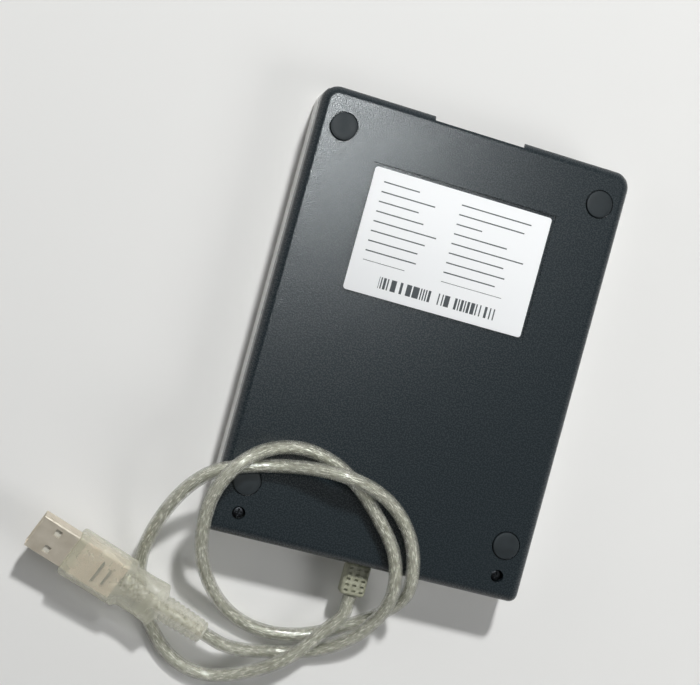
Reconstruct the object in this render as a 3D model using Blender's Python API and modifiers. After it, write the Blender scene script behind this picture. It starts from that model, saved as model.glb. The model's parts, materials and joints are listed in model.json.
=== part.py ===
"""External floppy disk drive with a captive cable, lying on its lid with its underside up.

The frame is in metres. X runs across the case, Y from the front panel to the cable's end, and Z up
from the flat outer face of the lid, which the drive lies on. The origin is the middle of that face.
"""
import math

import bmesh
import bpy
import numpy as np
from mathutils import Euler, Matrix, Vector

MM = 0.001

# Case: the sizes that everything else follows
CASE_LENGTH = 142 * MM
CASE_WIDTH = 103 * MM
CASE_HEIGHT = 18 * MM
LID_DEPTH = 11 * MM
WALL = 1.6 * MM
CORNER_RADIUS = 5.3 * MM
UNDER_EDGE_RADIUS = 3 * MM
LID_EDGE_RADIUS = 1.5 * MM
GAP = 0.3 * MM
OVERRUN = 5 * MM
SHEET = 0.6 * MM

FRONT = -CASE_LENGTH / 2
REAR = CASE_LENGTH / 2
SIDE = CASE_WIDTH / 2
INNER_SIDE = SIDE - WALL
INNER_REAR = REAR - WALL
LID_FLOOR = WALL
UNDER_FLOOR = CASE_HEIGHT - WALL

# Case: grooves, notch and recesses
SIDE_GROOVE_WIDTH = 0.7 * MM
SIDE_GROOVE_DEPTH = 0.45 * MM
NOTCH_WIDTH = 29.9 * MM
NOTCH_OFFSET = 0.6 * MM
BEZEL_SETBACK = 1.85 * MM
LABEL_WIDTH = 59 * MM
LABEL_LENGTH = 39.1 * MM
LABEL_THICKNESS = 0.2 * MM
LABEL_OFFSET_X = 0.45 * MM
LABEL_FRONT_MARGIN = 20.65 * MM
LABEL_RECESS_MARGIN = 1.1 * MM
FOOT_RADIUS = 4.3 * MM
FOOT_THICKNESS = 1.0 * MM
FOOT_PROUD = 0.5 * MM
FOOT_INSET_X = 8.75 * MM
FOOT_INSET_FRONT = 12 * MM
FOOT_INSET_REAR = 17.45 * MM
FOOT_CHAMFER = 0.25 * MM

# Case screws and their bosses
SCREW_INSET_X = 8.9 * MM
SCREW_INSET_REAR = 7.35 * MM
SCREW_WELL_RADIUS = 2.05 * MM
SCREW_WELL_DEPTH = 3 * MM
SCREW_HEAD_RADIUS = 1.7 * MM
SCREW_HEAD_HEIGHT = 1.3 * MM
SCREW_SHANK_RADIUS = 1.1 * MM
SCREW_SHANK_LENGTH = 9.5 * MM
SCREW_CROSS_LENGTH = 2.2 * MM
SCREW_CROSS_WIDTH = 0.5 * MM
SCREW_CROSS_DEPTH = 0.6 * MM
BOSS_RADIUS = 3.1 * MM

# Front panel
BEZEL_THICKNESS = 1.6 * MM
SLOT_HEIGHT = 4.8 * MM
BUTTON_WIDTH = 10 * MM
BUTTON_HEIGHT = 3.4 * MM
BUTTON_DEPTH = 6 * MM
BUTTON_BEVEL = 0.5 * MM
BUTTON_INSET = 7 * MM
LIGHT_PIPE_FROM_BUTTON = 14 * MM
LIGHT_PIPE_RADIUS = 0.8 * MM
LIGHT_PIPE_PROUD = 0.15 * MM

# Cradle that takes the disk
CRADLE_FRONT_MARGIN = 13 * MM
CRADLE_LENGTH = 80 * MM
CRADLE_LIP_WIDTH = 4 * MM
CRADLE_LIP_START = 12 * MM
CRADLE_DROP = 1.6 * MM
CRADLE_LID_SPACE = 2.4 * MM
CRADLE_SLIDER_CLEARANCE = 0.7 * MM
CRADLE_PIN_RADIUS = 0.8 * MM
CRADLE_PIN_FRONT = 18 * MM
CRADLE_PIN_REAR = 70 * MM
HEAD_WINDOW_WIDTH = 16 * MM
HEAD_WINDOW_LENGTH = 24 * MM

# Slider plate, which carries the eject button
SLIDER_TRAVEL = 4.5 * MM
SLIDER_CLEARANCE = 0.6 * MM
SLIDER_WALL_ABOVE_PIN = 2.1 * MM
SLIDER_LENGTH = 77 * MM
SLIDER_BAR_LENGTH = 5 * MM
SLIDER_SETBACK = 5 * MM
SLIDER_TAB_WIDTH = 4.8 * MM
SLIDER_TAB_OFFSET = 0.6 * MM
SPRING_HOOK_Y = 11 * MM

# Chassis
CHASSIS_FLOOR = 0.8 * MM
CHASSIS_CLEARANCE = 0.7 * MM
CHASSIS_FRONT_MARGIN = 8 * MM
CHASSIS_REAR_MARGIN = 21 * MM
CHASSIS_CASE_CLEARANCE = 0.8 * MM
CHASSIS_BOARD_SPACE = 1.4 * MM
CHASSIS_WALL_ABOVE_PIN = 1.5 * MM
MOTOR_HOLE_RADIUS = 16.8 * MM
CHASSIS_SCREW_FRONT = 2.5 * MM
CHASSIS_SCREW_REAR_MARGIN = 10 * MM
CHASSIS_SCREW_INSET = 4.5 * MM
CHASSIS_SCREW_HEAD_RADIUS = 2.2 * MM
CHASSIS_SCREW_HEAD_HEIGHT = 1.1 * MM
CHASSIS_SCREW_SHANK_RADIUS = 1 * MM
CHASSIS_POST_RADIUS = 2.6 * MM
CHASSIS_SCREW_END_MARGIN = 0.4 * MM

# Spindle
ROTOR_RADIUS = 16 * MM
ROTOR_PLATE = 0.7 * MM
ROTOR_HEIGHT = 3.1 * MM
ROTOR_CLEARANCE = 0.6 * MM
ROTOR_RIM = 1.5 * MM
HUB_RADIUS = 11 * MM
HUB_HEIGHT = 0.6 * MM
SHAFT_RADIUS = 1.5 * MM
SHAFT_PROUD = 1.1 * MM
SPINDLE_FRONT_MARGIN = 50 * MM
BEARING_RADIUS = 3.4 * MM
BEARING_HEIGHT = 1.6 * MM
STATOR_RADIUS = 17 * MM
STATOR_THICKNESS = 0.8 * MM
DRIVE_PIN_RADIUS = 1.2 * MM
DRIVE_PIN_HEIGHT = 0.7 * MM
DRIVE_PIN_ORBIT = 7.5 * MM

# Boards
BOARD_THICKNESS = 1 * MM
MAIN_BOARD_FRONT_MARGIN = 12 * MM
MAIN_BOARD_POST_CLEARANCE = 3.4 * MM
BOARD_SPACING = 3 * MM
CHIP_HEIGHT = 0.8 * MM
CONTROLLER_SIZE = 12 * MM
CONTROLLER_INSET = 11 * MM
CONTROLLER_REAR_MARGIN = 27 * MM
DRIVER_SIZE = 8 * MM
DRIVER_INSET = 10 * MM
DRIVER_REAR_MARGIN = 43 * MM
LED_WIDTH = 3 * MM
LED_LENGTH = 2 * MM
USB_BOARD_REAR_MARGIN = 19 * MM
USB_BOARD_INSET = 14.5 * MM
USB_BOARD_RIGHT = 12 * MM
BRIDGE_SIZE = 7 * MM
BRIDGE_FROM_RIBBON = 8 * MM
RIBBON_WIDTH = 16 * MM
RIBBON_INSET = 12 * MM
RIBBON_THICKNESS = 0.3 * MM
RIBBON_ARCH = 0.3 * MM
RIBBON_CONNECTOR_LENGTH = 3 * MM
RIBBON_CONNECTOR_HEIGHT = 1.1 * MM
RIBBON_CONNECTOR_MARGIN = 1 * MM

# Head carriage, its rods and its screw drive
OUTER_TRACK_RADIUS = 39.5 * MM
HEAD_TRAVEL = 14.85 * MM
ROD_X = 12 * MM
ROD_ABOVE_FLOOR = 0.6 * MM
ROD_RADIUS = 0.75 * MM
ROD_MARGIN = 1 * MM
ROD_FRONT_MARGIN = 2.15 * MM
CARRIAGE_WIDTH = 29 * MM
CARRIAGE_REAR_MARGIN = 4 * MM
CARRIAGE_ABOVE_ROD = 1.5 * MM
CARRIAGE_HEAD_MARGIN = 4.5 * MM
CARRIAGE_WINDOW_MARGIN = 1.5 * MM
POST_LENGTH = 4 * MM
POST_LID_SPACE = 0.6 * MM
EAR_THICKNESS = 1.6 * MM
ARM_WIDTH = 10 * MM
ARM_BELOW_POST = 0.4 * MM
ARM_THICKNESS = 0.8 * MM
ARM_PIVOT_RADIUS = 0.55 * MM
HEAD_LENGTH = 4 * MM
HEAD_WIDTH = 5 * MM
LOWER_HEAD_HEIGHT = 1.4 * MM
UPPER_HEAD_HEIGHT = 1.5 * MM
HEAD_SPRING_WIDTH = 4 * MM
HEAD_SPRING_THICKNESS = 0.25 * MM
HEAD_SPRING_LENGTH = 13 * MM
LEAD_SCREW_X = 18.5 * MM
LEAD_SCREW_ABOVE_ROD = 1 * MM
LEAD_SCREW_RADIUS = 1.2 * MM
LEAD_SCREW_ROOT_RADIUS = 0.95 * MM
LEAD_SCREW_PITCH = 3 * MM
TAB_LENGTH = 3 * MM
STEPPER_RADIUS = 5.1 * MM
STEPPER_LENGTH = 10 * MM
STEPPER_REAR_MARGIN = 19 * MM
BRACKET_LENGTH = 1.4 * MM
BRACKET_CLEARANCE = 0.35 * MM
BRACKET_REACH = 5.5 * MM
BRACKET_FOOT_HEIGHT = 1.5 * MM
BRACKET_WALL = 1 * MM

# Shutter lever
LEVER_PIVOT_INSET = 8.6 * MM
LEVER_PIVOT_BACK = 62 * MM
LEVER_FROM_HEAD_WINDOW = 4 * MM
LEVER_ANGLE = math.radians(-45)
LEVER_SWING = math.radians(55)
LEVER_WIDTH = 4 * MM
LEVER_PIVOT_RADIUS = 1 * MM
LEVER_EYE_RADIUS = 2.6 * MM
LEVER_TIP_RADIUS = 0.8 * MM
LEVER_TIP_LENGTH = 4 * MM
LEVER_WINDOW_MARGIN = 0.5 * MM

# Switches
SWITCH_SPACING = 3.2 * MM
SWITCH_FROM_SCREW = 11 * MM
SWITCH_LENGTH = 4 * MM
SWITCH_HEIGHT = 1.4 * MM
SWITCH_INSET = 1.3 * MM
PLUNGER_RADIUS = 0.7 * MM
PLUNGER_LENGTH = 2 * MM
PLUNGER_PROUD = 1.3 * MM

# Dust door
DOOR_THICKNESS = 0.8 * MM
DOOR_CLEARANCE = 0.9 * MM
DOOR_BUTTON_CLEARANCE = 0.8 * MM
DOOR_PIVOT_LID_SPACE = 1.7 * MM
DOOR_PIN_RADIUS = 0.5 * MM
DOOR_PIN_LENGTH = 1.5 * MM
DOOR_EAR_THICKNESS = 1.4 * MM
DOOR_EAR_HEIGHT = 2.4 * MM
DOOR_EAR_MARGIN = 0.9 * MM
DOOR_SPRING_SPACE = 2.2 * MM
DOOR_SPRING_CLEARANCE = 0.25 * MM

# Springs
WIRE_RADIUS = 0.15 * MM
DOOR_SPRING_RADIUS = 0.85 * MM
DOOR_SPRING_TURNS = 3
LEVER_SPRING_RADIUS = 1.7 * MM
LEVER_SPRING_TURNS = 1.6
LEVER_SPRING_HEIGHT = 0.85 * MM
EJECT_SPRING_RADIUS = 0.55 * MM
EJECT_SPRING_TURNS = 9
EJECT_SPRING_X = 22 * MM
EJECT_HOOK_SIZE = 1.2 * MM

# Cable, its strain relief and its inner lead
CORD_RADIUS = 2.2 * MM
RELIEF_WIDTH = 8.2 * MM
RELIEF_HEIGHT = 5.6 * MM
RELIEF_LENGTH = 10.4 * MM
RELIEF_STEP = 0.6 * MM
RELIEF_FLANGE = 1.4 * MM
RELIEF_BEVEL = 1.2 * MM
RELIEF_ROWS = 5
RELIEF_COLUMNS = 3
RELIEF_SLOT_WIDTH = 1.5 * MM
RELIEF_SLOT_LENGTH = 0.9 * MM
RELIEF_SLOT_DEPTH = 0.9 * MM
RELIEF_SLOT_MARGIN = 1.6 * MM
LEAD_RADIUS = 1.2 * MM
CONNECTOR_WIDTH = 10 * MM
CONNECTOR_LENGTH = 5 * MM
CONNECTOR_HEIGHT = 4 * MM
CONNECTOR_REAR_MARGIN = 13 * MM

# Plug
PLUG_SHELL_WIDTH = 12 * MM
PLUG_SHELL_HEIGHT = 4.5 * MM
PLUG_SHELL_LENGTH = 18.5 * MM
PLUG_SHELL_WALL = 0.35 * MM
PLUG_SHELL_BEVEL = 0.4 * MM
PLUG_EXPOSED = 12.5 * MM
PLUG_HOLE_WIDTH = 2.3 * MM
PLUG_HOLE_LENGTH = 2.1 * MM
PLUG_HOLE_SPACING = 6.2 * MM
PLUG_HOLE_Y = 5.2 * MM
TONGUE_WIDTH = 10.4 * MM
TONGUE_HEIGHT = 1.9 * MM
TONGUE_SETBACK = 1 * MM
SHIELD_WIDTH = 10.6 * MM
SHIELD_HEIGHT = 3.8 * MM
SHIELD_LENGTH = 9.4 * MM
BODY_WIDTH = 15.2 * MM
BODY_HEIGHT = 7.6 * MM
BODY_LENGTH = 20.5 * MM
BODY_BEVEL = 1.4 * MM
WAIST_WIDTH = 12.6 * MM
WAIST_HEIGHT = 7 * MM
WAIST_LENGTH = 13 * MM
SLEEVE_LENGTH = 15.5 * MM
SLEEVE_RADIUS = 4.3 * MM
SLEEVE_END_RADIUS = 3.7 * MM
SLEEVE_RIBS = 8
SLEEVE_RIB_DEPTH = 0.35 * MM
PLUG_ROLL = math.radians(-14)
PLUG_DIRECTION = (0.940, -0.337, 0.056)
PLUG_REAR = (42.2 * MM, 104.1 * MM, 9 * MM)

# Cable's route in millimetres, from the strain relief to the plug, in the order it is walked
CORD_ROUTE_MM = (
    (3.6, 93.4, 8.5), (9.1, 100.9, 8.0),
    (16.8, 108.7, 7.2), (25.7, 114.7, 4.2), (36.1, 118.2, 2.5), (46.9, 116.5, 2.4),
    (55.7, 109.9, 2.5), (62.2, 100.9, 2.4), (66.1, 90.6, 3.0), (66.5, 80.4, 6.9),
    (64.6, 70.9, 12.4), (61.1, 61.8, 17.6), (54.4, 53.5, 20.3), (44.5, 48.8, 20.7),
    (33.7, 46.1, 20.9), (23.2, 44.2, 23.9), (12.5, 44.2, 26.1), (2.3, 46.9, 23.9),
    (-6.8, 52.9, 20.9), (-12.9, 62.0, 21.0), (-15.4, 72.4, 19.7), (-15.2, 80.8, 11.2),
    (-10.1, 88.0, 4.6), (-1.2, 94.0, 2.5), (8.9, 98.6, 2.4), (19.7, 100.7, 2.4),
    (30.7, 99.2, 2.4), (39.8, 93.6, 5.1), (46.2, 86.0, 9.9), (50.4, 77.5, 15.5),
    (52.4, 67.7, 20.4), (51.8, 57.2, 24.4), (46.9, 47.6, 26.1), (38.3, 41.5, 22.6),
    (27.7, 39.5, 20.7), (16.9, 42.0, 20.7), (7.6, 47.9, 20.7), (-0.5, 55.5, 20.8),
    (-7.3, 64.2, 20.8), (-10.6, 74.5, 19.5), (-10.7, 84.0, 13.4), (-7.1, 92.7, 8.3),
    (0.2, 100.2, 4.3), (10.1, 104.8, 2.4), (21.0, 107.0, 2.7), (31.4, 107.2, 6.6),
)
CORD_POINT_COUNT = 78
CORD_STRAIGHT = 4.5 * MM
NEIGHBOUR_SHARE = 3.0

# Places across the case that follow from the sizes above, from the case's side inwards
CHASSIS_SIDE = INNER_SIDE - CHASSIS_CASE_CLEARANCE - SHEET
SLIDER_SIDE = CHASSIS_SIDE - CHASSIS_CLEARANCE - SHEET
CRADLE_SIDE = SLIDER_SIDE - SLIDER_CLEARANCE
CRADLE_INNER_SIDE = CRADLE_SIDE - SHEET
SLOT_HALF_WIDTH = CRADLE_INNER_SIDE
CHASSIS_SCREW_X = CHASSIS_SIDE - CHASSIS_SCREW_INSET
MAIN_BOARD_SIDE = CHASSIS_SCREW_X - CHASSIS_POST_RADIUS - MAIN_BOARD_POST_CLEARANCE
BUTTON_X = BUTTON_INSET - SLOT_HALF_WIDTH
LIGHT_PIPE_X = BUTTON_X + LIGHT_PIPE_FROM_BUTTON
CONTROLLER_X = CONTROLLER_INSET - MAIN_BOARD_SIDE
DRIVER_X = MAIN_BOARD_SIDE - DRIVER_INSET
USB_BOARD_LEFT = USB_BOARD_INSET - SIDE
RIBBON_X = USB_BOARD_LEFT + RIBBON_INSET
BRIDGE_X = RIBBON_X + BRIDGE_FROM_RIBBON
LEVER_PIVOT_X = LEVER_PIVOT_INSET - CRADLE_SIDE
LEVER_REACH = -LEVER_PIVOT_X - HEAD_WINDOW_WIDTH / 2 - LEVER_FROM_HEAD_WINDOW
SWITCH_X = CHASSIS_SCREW_X - SWITCH_FROM_SCREW
DOOR_HALF_WIDTH = SLOT_HALF_WIDTH - GAP

# Places along the case
BEZEL_FACE = FRONT + BEZEL_SETBACK
BEZEL_BACK = BEZEL_FACE + BEZEL_THICKNESS
DOOR_PIVOT_Y = BEZEL_BACK + DOOR_CLEARANCE + DOOR_THICKNESS / 2
CRADLE_FRONT = FRONT + CRADLE_FRONT_MARGIN
SLIDER_FRONT = CRADLE_FRONT + SLIDER_SETBACK
CHASSIS_FRONT = FRONT + CHASSIS_FRONT_MARGIN
CHASSIS_REAR = REAR - CHASSIS_REAR_MARGIN
MAIN_BOARD_FRONT = FRONT + MAIN_BOARD_FRONT_MARGIN
USB_BOARD_FRONT = REAR - USB_BOARD_REAR_MARGIN
MAIN_BOARD_REAR = USB_BOARD_FRONT - BOARD_SPACING
CONTROLLER_Y = MAIN_BOARD_REAR - CONTROLLER_REAR_MARGIN
DRIVER_Y = MAIN_BOARD_REAR - DRIVER_REAR_MARGIN
SPINDLE_Y = FRONT + SPINDLE_FRONT_MARGIN
HEAD_Y = SPINDLE_Y + OUTER_TRACK_RADIUS
CARRIAGE_FRONT = HEAD_Y - CARRIAGE_HEAD_MARGIN
CARRIAGE_REAR = CHASSIS_REAR - CARRIAGE_REAR_MARGIN
ARM_PIVOT_Y = CARRIAGE_REAR - POST_LENGTH / 2
ROD_FRONT = CARRIAGE_FRONT - HEAD_TRAVEL - ROD_FRONT_MARGIN
ROD_REAR = CARRIAGE_REAR + ROD_MARGIN
BRACKET_Y = CARRIAGE_REAR - TAB_LENGTH - HEAD_TRAVEL - BRACKET_CLEARANCE - BRACKET_LENGTH
STEPPER_Y = REAR - STEPPER_REAR_MARGIN
LEVER_PIVOT_Y = CRADLE_FRONT + LEVER_PIVOT_BACK
CONNECTOR_Y = REAR - CONNECTOR_REAR_MARGIN

# Heights, from the underside down and from the lid up, with the disk's space between
BOARD_BOTTOM = UNDER_FLOOR - GAP
BOARD_TOP = BOARD_BOTTOM - BOARD_THICKNESS
CHIP_BOTTOM = BOARD_TOP - GAP
CHASSIS_UNDERSIDE = CHIP_BOTTOM - CHASSIS_BOARD_SPACE
CHASSIS_FLOOR_Z = CHASSIS_UNDERSIDE - CHASSIS_FLOOR
SLIDER_FLOOR_BOTTOM = CHASSIS_FLOOR_Z - GAP
SLIDER_FLOOR_TOP = SLIDER_FLOOR_BOTTOM - SHEET
LIGHT_PIPE_Z = CHIP_BOTTOM - CHIP_HEIGHT / 2
BUTTON_Z = SLIDER_FLOOR_BOTTOM + GAP + GAP
ROTOR_BOTTOM_Z = BOARD_TOP - GAP - STATOR_THICKNESS - ROTOR_CLEARANCE
HUB_TOP_Z = ROTOR_BOTTOM_Z - ROTOR_HEIGHT
SHAFT_TOP_Z = HUB_TOP_Z - SHAFT_PROUD
ROD_Z = CHASSIS_FLOOR_Z - ROD_ABOVE_FLOOR
CARRIAGE_BOTTOM_Z = CHASSIS_UNDERSIDE + GAP
CARRIAGE_TOP_Z = ROD_Z - CARRIAGE_ABOVE_ROD
LOWER_HEAD_TOP_Z = CARRIAGE_TOP_Z - GAP - LOWER_HEAD_HEIGHT
LEAD_SCREW_Z = ROD_Z - LEAD_SCREW_ABOVE_ROD
POST_TOP_Z = LID_FLOOR + POST_LID_SPACE
ARM_TOP_Z = POST_TOP_Z + ARM_BELOW_POST
ARM_PIVOT_Z = ARM_TOP_Z + ARM_THICKNESS / 2
UPPER_HEAD_TIP_Z = ARM_TOP_Z + ARM_THICKNESS + GAP + UPPER_HEAD_HEIGHT
CRADLE_ROOF_Z = LID_FLOOR + CRADLE_LID_SPACE
CRADLE_SPACE_TOP = CRADLE_ROOF_Z + SHEET
CRADLE_SPACE_BOTTOM = SLIDER_FLOOR_TOP - CRADLE_SLIDER_CLEARANCE - CRADLE_DROP - SHEET
CRADLE_SPACE_HEIGHT = CRADLE_SPACE_BOTTOM - CRADLE_SPACE_TOP
SLOT_Z = (CRADLE_SPACE_TOP + CRADLE_SPACE_BOTTOM) / 2
CRADLE_PIN_Z = SLOT_Z + CRADLE_DROP / 2
SLIDER_WALL_TOP = CRADLE_PIN_Z - SLIDER_WALL_ABOVE_PIN
CHASSIS_WALL_TOP = CRADLE_PIN_Z - CHASSIS_WALL_ABOVE_PIN
LEVER_Z = CRADLE_ROOF_Z - GAP - SHEET
DOOR_PIVOT_Z = LID_FLOOR + DOOR_PIVOT_LID_SPACE
CORD_Z = CASE_HEIGHT / 2

PART = bpy.data.collections.new("floppy_drive")
CUTTERS = bpy.data.collections.new("cutters")


def start_empty():
    """Clear the scene and add the part's two collections."""
    for thing in list(bpy.data.objects):
        bpy.data.objects.remove(thing, do_unlink=True)
    for collection in (PART, CUTTERS):
        bpy.context.scene.collection.children.link(collection)


def linear(channel):
    """Turn one sRGB channel, 0 to 1, to linear light."""
    if channel <= 0.04045:
        return channel / 12.92
    return ((channel + 0.055) / 1.055) ** 2.4


def finish(name, colour, roughness, metallic=0.0, transmission=0.0):
    """Return the plain material of that name, made on first use; colour is sRGB hex."""
    if name in bpy.data.materials:
        return bpy.data.materials[name]
    material = bpy.data.materials.new(name)
    material.use_nodes = True
    shader = material.node_tree.nodes["Principled BSDF"]
    channels = [int(colour[i:i + 2], 16) / 255 for i in (0, 2, 4)]
    shader.inputs["Base Color"].default_value = (*map(linear, channels), 1.0)
    shader.inputs["Roughness"].default_value = roughness
    shader.inputs["Metallic"].default_value = metallic
    shader.inputs["Transmission Weight"].default_value = transmission
    return material


def charcoal_plastic():
    return finish("charcoal_moulded_plastic", "2b3237", 0.55)


def silver_plastic():
    return finish("silver_grey_plastic", "c3c6c8", 0.4)


def black_plastic():
    return finish("black_plastic", "1c1e20", 0.5)


def rubber():
    return finish("grey_rubber", "3c4144", 0.8)


def paper():
    return finish("white_label_stock", "eef0f1", 0.5)


def steel():
    return finish("zinc_plated_steel", "b8babb", 0.35, 1.0)


def nickel():
    return finish("nickel_plate", "c9c5bd", 0.25, 1.0)


def brass():
    return finish("brass", "b9965a", 0.35, 1.0)


def board_laminate():
    return finish("green_board_laminate", "1f5b3c", 0.5)


def chip_resin():
    return finish("black_chip_resin", "222325", 0.6)


def clear_vinyl():
    return finish("clear_vinyl", "c9cbb2", 0.25, 0.0, 0.5)


def white_nylon():
    return finish("white_nylon", "e4e2da", 0.5)


def light_acrylic():
    return finish("green_tinted_acrylic", "8fd08a", 0.2, 0.0, 0.4)


def amber_film():
    return finish("amber_film", "c08a3a", 0.4)


def add_object(name, mesh, material, place=(0.0, 0.0, 0.0)):
    """Put a mesh into the part as a named object at a place."""
    thing = bpy.data.objects.new(name, mesh)
    thing.location = place
    mesh.materials.append(material)
    PART.objects.link(thing)
    return thing


def mesh_from(name, shape):
    """Turn a bmesh into a mesh and free it."""
    bmesh.ops.recalc_face_normals(shape, faces=shape.faces)
    mesh = bpy.data.meshes.new(name)
    shape.to_mesh(mesh)
    shape.free()
    return mesh


def smooth(mesh, angle=math.radians(35)):
    """Shade a mesh smooth but for its sharp edges."""
    mesh.shade_smooth()
    mesh.set_sharp_from_angle(angle=angle)


def block(name, low, high, material, bevel=0.0, steps=2):
    """A box between two corners, its origin in its middle, its edges rounded by bevel."""
    low, high = Vector(low), Vector(high)
    shape = bmesh.new()
    bmesh.ops.create_cube(shape, size=1.0)
    bmesh.ops.scale(shape, vec=high - low, verts=shape.verts)
    if bevel > 0:
        bmesh.ops.bevel(shape, geom=shape.edges[:], offset=bevel, segments=steps,
                        profile=0.5, affect="EDGES")
    return add_object(name, mesh_from(name, shape), material, (low + high) / 2)


def slab(name, low, high, corner, edge, edge_side, material, steps=6, edge_steps=4):
    """A box with rounded upright corners; one flat face's rim is rounded by edge.

    edge_side is 1 for the upper face and -1 for the lower one.
    """
    low, high = Vector(low), Vector(high)
    shape = bmesh.new()
    bmesh.ops.create_cube(shape, size=1.0)
    bmesh.ops.scale(shape, vec=high - low, verts=shape.verts)
    upright = [e for e in shape.edges if abs((e.verts[0].co - e.verts[1].co).z) > (high - low).z / 2]
    bmesh.ops.bevel(shape, geom=upright, offset=corner, segments=steps, profile=0.5, affect="EDGES")
    if edge > 0:
        level = edge_side * (high - low).z / 2
        rim = [e for e in shape.edges
               if all(abs(v.co.z - level) < GAP / 10 for v in e.verts) and len(e.link_faces) == 2
               and any(abs(f.normal.z) < 0.5 for f in e.link_faces)]
        bmesh.ops.bevel(shape, geom=rim, offset=edge, segments=edge_steps, profile=0.5,
                        affect="EDGES")
    thing = add_object(name, mesh_from(name, shape), material, (low + high) / 2)
    smooth(thing.data)
    return thing


def rod(name, start, end, radius, material, sides=20):
    """A round bar from start to end."""
    start, end = Vector(start), Vector(end)
    shape = bmesh.new()
    bmesh.ops.create_cone(shape, cap_ends=True, segments=sides, radius1=radius, radius2=radius,
                          depth=(end - start).length)
    turn = Vector((0.0, 0.0, 1.0)).rotation_difference(end - start).to_matrix()
    bmesh.ops.rotate(shape, cent=(0.0, 0.0, 0.0), matrix=turn, verts=shape.verts)
    thing = add_object(name, mesh_from(name, shape), material, (start + end) / 2)
    smooth(thing.data)
    return thing


def turned(name, profile, place, material, steps=28, closed=False, turn=(0.0, 0.0, 0.0)):
    """A profile of (radius, height) points turned about the local Z axis.

    The points run down the outer side, top to bottom. A closed profile makes a ring.
    """
    mesh = bpy.data.meshes.new(name)
    count = len(profile)
    edges = [(i, i + 1) for i in range(count - 1)]
    if closed:
        edges.append((count - 1, 0))
    mesh.from_pydata([(r, 0.0, z) for r, z in profile], edges, [])
    thing = add_object(name, mesh, material, place)
    thing.rotation_euler = turn
    screw = thing.modifiers.new("turn", "SCREW")
    screw.axis = "Z"
    screw.angle = math.tau
    screw.steps = steps
    screw.render_steps = steps
    screw.use_merge_vertices = True
    screw.merge_threshold = GAP / 30
    screw.use_smooth_shade = False
    return thing


def tube(name, points, radius, material, sides_step=2):
    """A round tube along points, with flat ends."""
    curve = bpy.data.curves.new(name, "CURVE")
    curve.dimensions = "3D"
    curve.bevel_depth = radius
    curve.bevel_resolution = sides_step
    curve.render_resolution_u = curve.resolution_u
    curve.use_fill_caps = True
    spline = curve.splines.new("POLY")
    spline.points.add(len(points) - 1)
    for point, place in zip(spline.points, points):
        point.co = (*place, 1.0)
    curve.materials.append(material)
    thing = bpy.data.objects.new(name, curve)
    PART.objects.link(thing)
    return thing


def helix(radius, length, turns, per_turn=10):
    """Points of a coil about Z from height 0 to length."""
    count = round(turns * per_turn) + 1
    angle = np.linspace(0.0, math.tau * turns, count)
    height = np.linspace(0.0, length, count)
    return np.stack([radius * np.cos(angle), radius * np.sin(angle), height], axis=1)


def as_guide(thing):
    """Move an object to the cutters, out of the part."""
    PART.objects.unlink(thing)
    CUTTERS.objects.link(thing)
    thing.hide_render = True
    thing.display_type = "WIRE"
    return thing


def combine(body, other, operation):
    """Cut other out of body, or join it to body."""
    as_guide(other)
    step = body.modifiers.new(other.name, "BOOLEAN")
    step.operation = operation
    step.solver = "EXACT"
    step.object = other


def cut(body, other):
    combine(body, other, "DIFFERENCE")


def fuse(body, other):
    combine(body, other, "UNION")


def cut_block(body, low, high):
    cut(body, block(f"{body.name}_cut", low, high, body.active_material))


def fuse_block(body, low, high):
    fuse(body, block(f"{body.name}_add", low, high, body.active_material))


def cut_rod(body, start, end, radius, sides=20):
    cut(body, rod(f"{body.name}_cut", start, end, radius, body.active_material, sides))


def fuse_rod(body, start, end, radius, sides=20):
    fuse(body, rod(f"{body.name}_add", start, end, radius, body.active_material, sides))


def mirrored(value):
    """The same distance on both sides of the middle."""
    return (-value, value)


def case_slab(name, low_z, high_z, inset, edge, edge_side):
    """The case's rounded outline between two heights, drawn in by inset."""
    return slab(name, (inset - SIDE, FRONT + inset, low_z), (SIDE - inset, REAR - inset, high_z),
                CORNER_RADIUS - inset, edge, edge_side, charcoal_plastic())


def hollow_case(shell, low_z, high_z):
    """Cut the room inside the case, which opens to the front."""
    cut(shell, slab(f"{shell.name}_room", (-INNER_SIDE, FRONT - CORNER_RADIUS - OVERRUN, low_z),
                    (INNER_SIDE, INNER_REAR, high_z), CORNER_RADIUS - WALL, 0.0, 1,
                    charcoal_plastic()))


def cut_notch(shell):
    """The thumb notch in the front edge."""
    cut_block(shell, (NOTCH_OFFSET - NOTCH_WIDTH / 2, FRONT - OVERRUN, -OVERRUN),
              (NOTCH_OFFSET + NOTCH_WIDTH / 2, FRONT + BEZEL_SETBACK, CASE_HEIGHT + OVERRUN))


def cut_relief_hole(shell):
    """The hole in the rear wall that the strain relief's neck passes through."""
    half_width = RELIEF_WIDTH / 2 - RELIEF_STEP + GAP
    half_height = RELIEF_HEIGHT / 2 - RELIEF_STEP + GAP
    cut_block(shell, (-half_width, INNER_REAR - OVERRUN, CORD_Z - half_height),
              (half_width, REAR + OVERRUN, CORD_Z + half_height))


def screw_places():
    return [(x, REAR - SCREW_INSET_REAR) for x in mirrored(SIDE - SCREW_INSET_X)]


def chassis_screw_places():
    rows = (CHASSIS_FRONT + CHASSIS_SCREW_FRONT, CHASSIS_REAR - CHASSIS_SCREW_REAR_MARGIN)
    return [(x, y) for x in mirrored(CHASSIS_SCREW_X) for y in rows]


def foot_places():
    rows = (("front", FRONT + FOOT_INSET_FRONT), ("rear", REAR - FOOT_INSET_REAR))
    sides = (("left", -1), ("right", 1))
    return {f"{row}_{side}": (sign * (SIDE - FOOT_INSET_X), y)
            for row, y in rows for side, sign in sides}


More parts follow.
